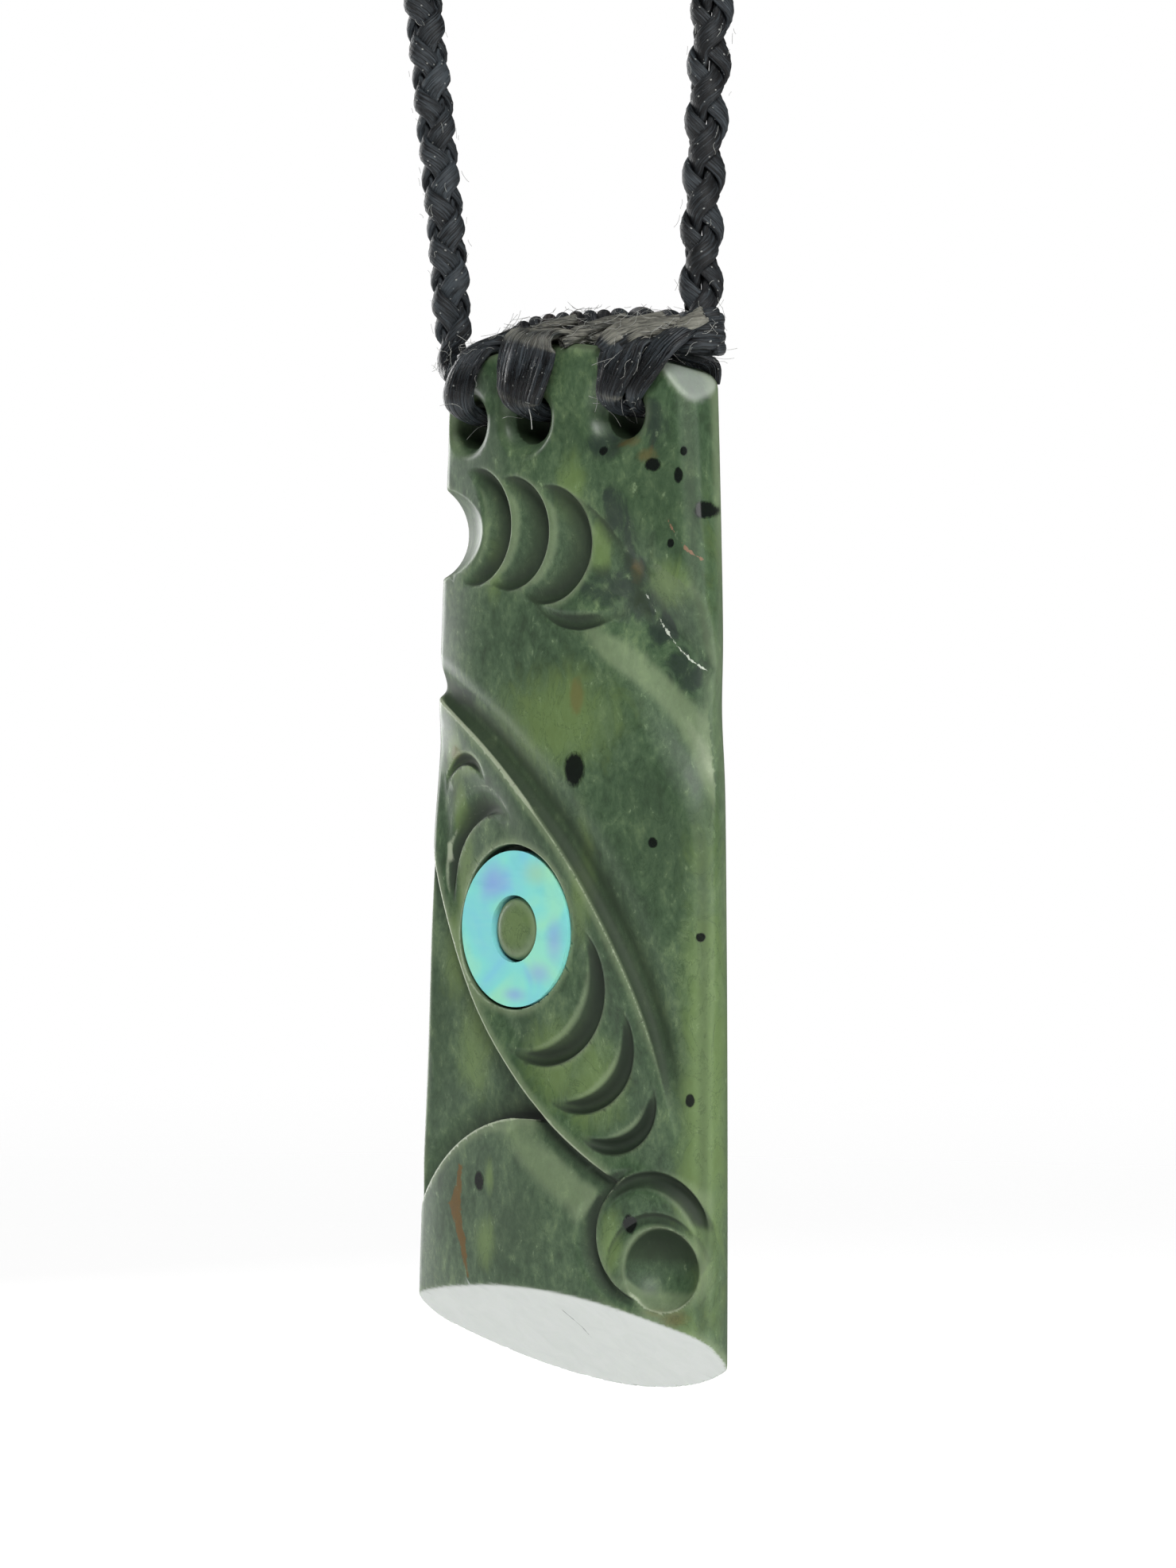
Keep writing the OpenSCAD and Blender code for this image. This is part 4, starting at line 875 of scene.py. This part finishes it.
def waxed_thread(name, look, gloss):
    """Waxed polyester thread, spun and laid: near black with a dull wax shine, and matt grey fluff where rubbed."""
    made, tree = new_material(name)
    lay = add(tree, "Attribute", attribute_name="lay").outputs["Vector"]
    tone, wear = [add(tree, "Attribute", attribute_name=value).outputs["Fac"] for value in ("tone", "wear")]
    # Filaments are 0.02 mm wide, and drawn 0.1 mm wide here so that they show. They lie slanted, as spun
    slanted = add(tree, "Mapping", {"Vector": lay, "Rotation": (0, 0, 0.2), "Scale": (0.5, 6.0, 6.0)})
    filament = add(tree, "TexNoise", {"Vector": slanted, "Scale": 1.6, "Detail": 4, "Roughness": 0.65})
    mixed = add(tree, "Math", {0: tone, 1: 0.18, 2: filament}, operation="MULTIPLY_ADD")
    # The lighter filaments take the sheen colour, a painted highlight
    tint = add(tree, "ValToRGB", {"Fac": mixed}, stops=[(0.5, look["black"]), (0.78, look["sheen"])])
    # Rubbed places: pale filament ends over the black
    rubbed = add(tree, "TexNoise", {"Vector": lay, "Scale": 1.1, "Detail": 4, "Roughness": 0.6})
    rubbed = add(tree, "Math", {0: filament, 1: 2.2, 2: rubbed}, operation="MULTIPLY_ADD")
    rubbed = add(tree, "Math", {0: rubbed, 1: wear}, operation="MULTIPLY")
    # Specks of dust about 0.1 mm wide sit in the wax. Loose hairs have a tone above 1, and are pale
    dust_at = add(tree, "VectorMath", {0: tone, 1: (40, 40, 40), 2: lay}, operation="MULTIPLY_ADD")
    dust = add(tree, "TexVoronoi", {"Vector": dust_at, "Scale": 2.2})
    for colour, *layer in (
            (look["worn"], rubbed, 0.88, 1.5, 0.9),
            (linear("#a9aba6"), dust, 0.15, 0.08, 0.65),
            (linear("#b9bbb6"), tone, 1.4, 1.6, 0.8)):
        tint = lay_over(tree, tint, colour, *layer)
    rough = add(tree, "MapRange", {"Value": wear, "To Min": gloss, "To Max": 0.85})
    bump = add(tree, "Bump", {"Height": filament, "Strength": 1.0, "Distance": 0.0001})
    surface = add(tree, "BsdfPrincipled", {
        "Base Color": tint, "Roughness": rough, "IOR": 1.5, "Specular IOR Level": 0.35, "Normal": bump})
    add(tree, "OutputMaterial", {"Surface": surface})
    return made


def circle_lines(middle, radius, turns, count, axis, climb):
    """Points on a coil round an axis, 'x' or 'up', with the direction out of the coil at each."""
    angle = np.linspace(0, 2 * math.pi * turns, count)
    first, second, axle = ((0, 1, 0), (0, 0, 1), (1, 0, 0)) if axis == "x" else ((1, 0, 0), (0, 1, 0), (0, 0, 1))
    out = np.outer(np.cos(angle), first) + np.outer(np.sin(angle), second)
    return np.array(middle) + out * radius + np.outer(np.linspace(-climb / 2, climb / 2, count), axle), out


def bound_foot():
    """Turns of cord that bind the right braid's foot, lumpy and uneven, with their loose hairs."""
    middle, radius, turns, count, length = (10.2, 0.0, 67.2), 1.15, 5, 150, 2.2
    rng = np.random.default_rng(9)
    coil, out = circle_lines(middle, radius, turns, count, "up", length)
    coil = coil + 0.09 * np.sin(np.arange(count)[:, None] * (0.31, 0.23, 0.17)) + rng.normal(0, 0.01, (count, 3))
    lumps = 0.06 * np.sin(np.arange(count) * 0.21)
    cord = tube(coil, out, 0.42 + lumps, 0.34, 12, 0.4, 0.25)
    return [cord] + hairs(coil, out, np.broadcast_to((0, 0, 1.0), out.shape), 0.4, 0.3, 60, 1.3, rng)


def top_twist():
    """The cord along the top: thin and frizzy at the left, two smooth lumps at the right, a knot and loose hairs."""
    spacing, rng = 0.12, np.random.default_rng(8)
    run, flat = curve_through(TOP_CORD_ROUTE, spacing)
    middle = np.stack([flat[:, 0], np.full(len(run), TOP_CORD_BACK), flat[:, 1]], axis=1)
    smooth = fade(middle[:, 0], 1.5, 4.0)
    # A strand goes once round in 2.4 mm at the left, and in twice that at the right
    turn = np.cumsum(2 * math.pi * spacing / (2.4 + 2.4 * smooth))
    back, upward = np.array([0, 1.0, 0]), np.array([0, 0, 1.0])
    tubes = []
    for k in range(2):
        angle = turn + math.pi * k
        outward = back * np.cos(angle)[:, None] + upward * np.sin(angle)[:, None]
        bulk = 0.40 + 0.1 * smooth
        tubes.append(tube(middle + 0.36 * outward, outward, bulk + 0.06, bulk, 14, 0.2 + 0.5 * k, 0.6 * (1 - smooth)))
    knot_at, radius, turns, length, thick = (-6.4, TOP_CORD_BACK, 67.95), 0.55, 3, 0.9, 0.3
    knot, out = circle_lines(knot_at, radius, turns, 60, "x", length)
    tubes.append(tube(knot, out, thick, thick, 8, 0.4, 0.2))
    sides = [np.broadcast_to(way, middle.shape) for way in (back, upward)]
    return tubes + hairs(middle, *sides, 0.8, 0.8, 220, 1.4, rng)


def colour_setting(name, description, hex_colour):
    """A colour that a user can change. Its default is sRGB hex."""
    return FloatVectorProperty(name=name, description=description, subtype="COLOR", size=3, min=0, max=1,
                               default=linear(hex_colour)[:3])


def length_setting(name, description, default, least, most):
    """A length that a user can change, in metres."""
    return FloatProperty(name=name, description=description, default=default, min=least, max=most, precision=5,
                         unit="LENGTH")


class StoneSettings(bpy.types.PropertyGroup):
    grid: length_setting("Grid step", "Spacing of the grid that the stone is carved from", 0.00013, 0.0001, 0.0005)
    arris: length_setting("Arris", "How wide the worn rounding of the carved edges is", 0.00014, 0.00005, 0.0005)
    deep: colour_setting("Deep green", "Darkest clouds of the stone", "#32442f")
    green: colour_setting("Green", "Main green of the stone", "#3f553c")
    light: colour_setting("Light green", "Lighter clouds of the stone", "#4d6347")
    yellow: colour_setting("Yellow green", "Palest clouds of the stone", "#647955")


class ShellSettings(bpy.types.PropertyGroup):
    eased_edge: length_setting("Eased edge", "Width of the shell ring's rounded edge", 0.00008, 0.00002, 0.0002)
    blue: colour_setting("Blue", "Bluest layer of the shell", "#86d6e6")
    turquoise: colour_setting("Turquoise", "Main colour of the shell", "#8ae4dc")
    mint: colour_setting("Mint", "Greenest layer of the shell", "#a0ebcb")
    violet: colour_setting("Violet", "Colour of the shell's violet clouds", "#929fe6")
    gold: colour_setting("Gold", "Colour of the shell's yellow-green clouds", "#b3d68e")


class CordSettings(bpy.types.PropertyGroup):
    diameter: length_setting("Braid diameter", "Diameter of the neck braid", 0.0028, 0.002, 0.0028)
    pitch: length_setting("Braid pitch", "Length in which a strand goes once round the braid", 0.0068, 0.005, 0.01)
    thread: length_setting("Lashing thread", "Radius of one thread of the lashing", 0.00009, 0.00006, 0.0002)
    threads: IntProperty(name="Threads", description="Threads that show in the widest lashing bundle", default=150,
                         min=40, max=180)
    black: colour_setting("Black", "Colour of the waxed thread", "#08090b")
    # The sheen colour is a painted highlight on the lighter filaments
    sheen: colour_setting("Sheen", "Lighter filaments of the thread", "#41484d")
    worn: colour_setting("Worn", "Rubbed thread over the top edge", "#8a897e")


class StageSettings(bpy.types.PropertyGroup):
    key_power: FloatProperty(name="Key light", description="Power of the main softbox", default=3.8, min=0,
                             unit="POWER")
    side_power: FloatProperty(name="Side lights", description="Power of the two side softboxes", default=1.3, min=0,
                              unit="POWER")
    floor_glow: FloatProperty(name="Table glow", description="How brightly the white table is lit from below",
                              default=0.3, min=0, max=1)
    floor: colour_setting("Table", "Colour of the table", "#f6f6f6")


def colours_of(settings, *names):
    """The named colours of the settings, as RGBA."""
    return {name: (*getattr(settings, name), 1.0) for name in names}


class PENDANT_OT_carve_stone(bpy.types.Operator):
    """Carve the stone and polish it"""
    bl_idname = "pendant.carve_stone"
    bl_label = "Carve the stone"

    def execute(self, context):
        settings = context.scene.pendant_stone
        points, triangles, normals, relief_light_and_shade = stone_mesh(settings.grid / MM, settings.arris / MM)
        x, y, up = points.T
        across, depth = on_face(x, y)
        # The bevel's ground face is pale, partly its own colour and partly a painted reflection. The facet is partly
        # so, as a painted reflection
        ground = np.maximum(fade(over_bevel(x, y, up), 0.1, 0.02), 0.36 * fade(over_facet(x, y, up), -0.3, -0.02))
        look = colours_of(settings, "deep", "green", "light", "yellow")
        piece = make_piece("adze_carved", points, triangles, nephrite(look), "jade", "adze",
                           place=np.stack([across, up, depth], 1), bevel=ground, **relief_light_and_shade)
        piece.data.normals_split_custom_set_from_vertices(normals)
        return {"FINISHED"}


class PENDANT_OT_polish_shell(bpy.types.Operator):
    """Polish the shell ring in the eye"""
    bl_idname = "pendant.polish_shell"
    bl_label = "Polish the shell"

    def execute(self, context):
        settings = context.scene.pendant_shell
        ring = frame["nodes"]["shell_ring"]
        ring.material_slots[0].material = shell(colours_of(settings, "blue", "turquoise", "mint", "violet", "gold"))
        eased = ring.modifiers.new("eased_edge", "BEVEL")
        eased.width, eased.segments, eased.limit_method = settings.eased_edge, 2, "ANGLE"
        return {"FINISHED"}


class PENDANT_OT_plait_cord(bpy.types.Operator):
    """Plait both halves of the neck cord and wind the thread round them at the nape"""
    bl_idname = "pendant.plait_cord"
    bl_label = "Plait the neck cord"

    def execute(self, context):
        settings = context.scene.pendant_cord
        look = colours_of(settings, "black", "sheen", "worn")
        thread = waxed_thread("waxed_polyester_braid", look, 0.5)
        for name, route, turn, seed in (
                ("left", LEFT_ROUTE, PHOTO_TURN + 0.8, 1), ("right", RIGHT_ROUTE, PHOTO_TURN, 2)):
            strands = plait(route, settings.diameter / MM, settings.pitch / MM, turn, seed)
            make_threads(f"braid_{name}_strands", strands, thread, "braid", f"braid_{name}")
        # The wound sleeve at the nape, as long and thick as its solid
        radius, length, thread_radius, turns, points_a_turn, middle_up = 1.8, 8, 0.28, 14, 26, 2.1
        coil, out = circle_lines((0, 0, NAPE_UP + middle_up), radius, turns, turns * points_a_turn, "x",
                                 length - 2 * thread_radius)
        make_threads("nape_whipping_turns", [tube(coil, out, thread_radius, thread_radius, 8, 0.4)],
                     waxed_thread("waxed_polyester_whipping", look, 0.5), "whipping", "nape_whipping")
        return {"FINISHED"}


class PENDANT_OT_tie_lashing(bpy.types.Operator):
    """Lash the stone to the cord through its three holes"""
    bl_idname = "pendant.tie_lashing"
    bl_label = "Tie the lashing"

    def execute(self, context):
        settings = context.scene.pendant_cord
        look = colours_of(settings, "black", "sheen", "worn")
        thread = waxed_thread("waxed_polyester_lashing", look, 0.27)
        # A rope has few threads, drawn twice as thick so that they show, and is twisted more
        rope_threads, rope_thread, rope_turns, rope_hairs = 13, 2.1 * settings.thread / MM, 0.55, 14
        fibre, fibre_radius = smooth_line(PALE_FIBRE, 0.1, 3) * (1, -1, 1), 0.035
        for name, rows, share, turns, worn, frayed, hair_count, seed in LASHING:
            strands = bundle(rows, int(share * settings.threads), settings.thread / MM, turns, worn, frayed,
                             hair_count, seed)
            for k, rope in enumerate(LOOSE_ROPES.get(name, [])):
                strands += bundle(rope, rope_threads, rope_thread, rope_turns, worn, 0.0, rope_hairs, 10 * seed + k)
            if name == "middle":
                strands.append(tube(fibre, np.broadcast_to((1.0, 0, 0), fibre.shape), fibre_radius, fibre_radius, 5,
                                    HAIR_TONE, 1.0))
            if name == "end":
                strands += bound_foot()
            make_threads(f"lashing_{name}_threads", strands, thread, "lashing", f"lashing_{name}")
        twist = waxed_thread("waxed_polyester_twist", dict(look, worn=linear("#5c4c43")), 0.42)
        make_threads("top_cord_twist", top_twist(), twist, "lashing", "top_cord")
        return {"FINISHED"}


class PENDANT_OT_set_stage(bpy.types.Operator):
    """Set the white table, the studio light and the camera"""
    bl_idname = "pendant.set_stage"
    bl_label = "Set the stage"

    def execute(self, context):
        settings = context.scene.pendant_stage
        context.scene.view_settings.view_transform = "Standard"
        # Opal acrylic sheet lit from below: a plain pale table without an edge
        made, tree = new_material("opal_acrylic_table")
        away = add(tree, "VectorMath", {0: add(tree, "TexCoord").outputs["Object"]}, operation="LENGTH")
        glow = add(tree, "MapRange", {"Value": away, "From Min": 0.46, "From Max": 0.7,
                                      "To Min": settings.floor_glow, "To Max": 0.8})
        surface = add(tree, "BsdfPrincipled", {
            "Base Color": (*settings.floor, 1), "Roughness": 0.9, "Emission Color": (1, 1, 1, 1),
            "Emission Strength": glow})
        clear = add(tree, "MapRange", {"Value": away, "From Min": 0.5, "From Max": 1.4},
                    interpolation_type="SMOOTHSTEP")
        both = add(tree, "MixShader", {0: clear, 1: surface, 2: add(tree, "BsdfTransparent")})
        add(tree, "OutputMaterial", {"Surface": both})
        mesh = bpy.data.meshes.new("studio_floor")
        reach, height = 3.0, -0.42
        corners = [(x * reach, y * reach, height) for x, y in ((-1, -1), (1, -1), (1, 1), (-1, 1))]
        mesh.from_pydata(corners, [], [(0, 1, 2, 3)])
        mesh.materials.append(made)
        floor = bpy.data.objects.new("studio_floor", mesh)
        context.scene.collection.objects.link(floor)

        world = bpy.data.worlds.new("studio")
        world.use_nodes = True
        context.scene.world = world
        tree = world.node_tree
        tree.nodes.clear()
        # The backdrop is white to the camera, and lights the stone mostly from below, as a light tent does
        seen = add(tree, "Background", {"Color": (1, 1, 1, 1), "Strength": 1.0})
        height = add(tree, "SeparateXYZ", {0: add(tree, "TexCoord").outputs["Generated"]}).outputs["Z"]
        glow = add(tree, "MapRange", {"Value": height, "From Min": -0.5, "From Max": 0.2, "To Min": 0.2, "To Max": 0.1})
        light = add(tree, "Background", {"Color": (1, 1, 1, 1), "Strength": glow})
        camera_ray = add(tree, "LightPath").outputs["Is Camera Ray"]
        add(tree, "OutputWorld", {"Surface": add(tree, "MixShader", {0: camera_ray, 1: light, 2: seen})})

        # Three softboxes, placed as the camera sees them: to its right, toward it, and up from the stone's middle
        right = Vector((math.cos(PHOTO_TURN), math.sin(PHOTO_TURN), 0))
        toward = Vector((math.sin(PHOTO_TURN), -math.cos(PHOTO_TURN), 0))
        middle = Vector((0, 0, -0.31))
        for name, aside, forward, lift, size, power in (
                ("softbox_key", 0.06, 0.55, 0.42, 0.3, settings.key_power),
                ("softbox_left", -0.37, -0.42, 0.1, 0.35, 1.9 * settings.side_power),
                ("softbox_right", 0.5, 0.36, 0.05, 0.3, 0.8 * settings.side_power)):
            lamp = bpy.data.lights.new(name, "AREA")
            lamp.shape, lamp.size, lamp.energy = "SQUARE", size, power
            box = bpy.data.objects.new(name, lamp)
            box.visible_camera = False
            box.location = middle + right * aside + toward * forward + Vector((0, 0, lift))
            box.rotation_euler = (middle - box.location).to_track_quat("-Z", "Y").to_euler()
            context.scene.collection.objects.link(box)

        lens = bpy.data.cameras.new("camera")
        lens.sensor_fit, lens.sensor_height, lens.lens = "VERTICAL", FILM_HEIGHT, FOCAL_LENGTH
        # A close view doesn't cut into the stone
        lens.clip_start = 0.01
        camera = bpy.data.objects.new("camera", lens)
        context.scene.collection.objects.link(camera)
        pose = Matrix((right, toward.cross(right), toward)).transposed().to_4x4()
        pose = pose @ Matrix.Rotation(CAMERA_ROLL, 4, "Z")
        pose.translation = (Vector((0, 0, AIM_UP - NAPE_UP)) + toward * CAMERA_AWAY + right * AIM_ASIDE) * MM
        camera.matrix_world = pose
        context.scene.camera = camera
        return {"FINISHED"}


OPERATORS = (PENDANT_OT_carve_stone, PENDANT_OT_polish_shell, PENDANT_OT_plait_cord, PENDANT_OT_tie_lashing,
             PENDANT_OT_set_stage)
SETTINGS = {"pendant_stone": StoneSettings, "pendant_shell": ShellSettings, "pendant_cord": CordSettings,
            "pendant_stage": StageSettings}


class PENDANT_PT_sidebar(bpy.types.Panel):
    bl_label = "Adze pendant"
    bl_idname = "PENDANT_PT_sidebar"
    bl_space_type = "VIEW_3D"
    bl_region_type = "UI"
    bl_category = "Pendant"

    def draw(self, context):
        for name, group in SETTINGS.items():
            box = self.layout.box()
            for key in group.__annotations__:
                box.prop(getattr(context.scene, name), key)
        for operator in OPERATORS:
            self.layout.operator(operator.bl_idname)


def register():
    for kind in (*SETTINGS.values(), *OPERATORS, PENDANT_PT_sidebar):
        bpy.utils.register_class(kind)
    for name, group in SETTINGS.items():
        setattr(bpy.types.Scene, name, PointerProperty(type=group))


def unregister():
    for name in SETTINGS:
        delattr(bpy.types.Scene, name)
    for kind in (PENDANT_PT_sidebar, *reversed(OPERATORS), *reversed(SETTINGS.values())):
        bpy.utils.unregister_class(kind)


def main():
    register()
    bpy.ops.pendant.carve_stone()
    bpy.ops.pendant.polish_shell()
    bpy.ops.pendant.plait_cord()
    bpy.ops.pendant.tie_lashing()
    bpy.ops.pendant.set_stage()


if __name__ == "__main__":
    main()
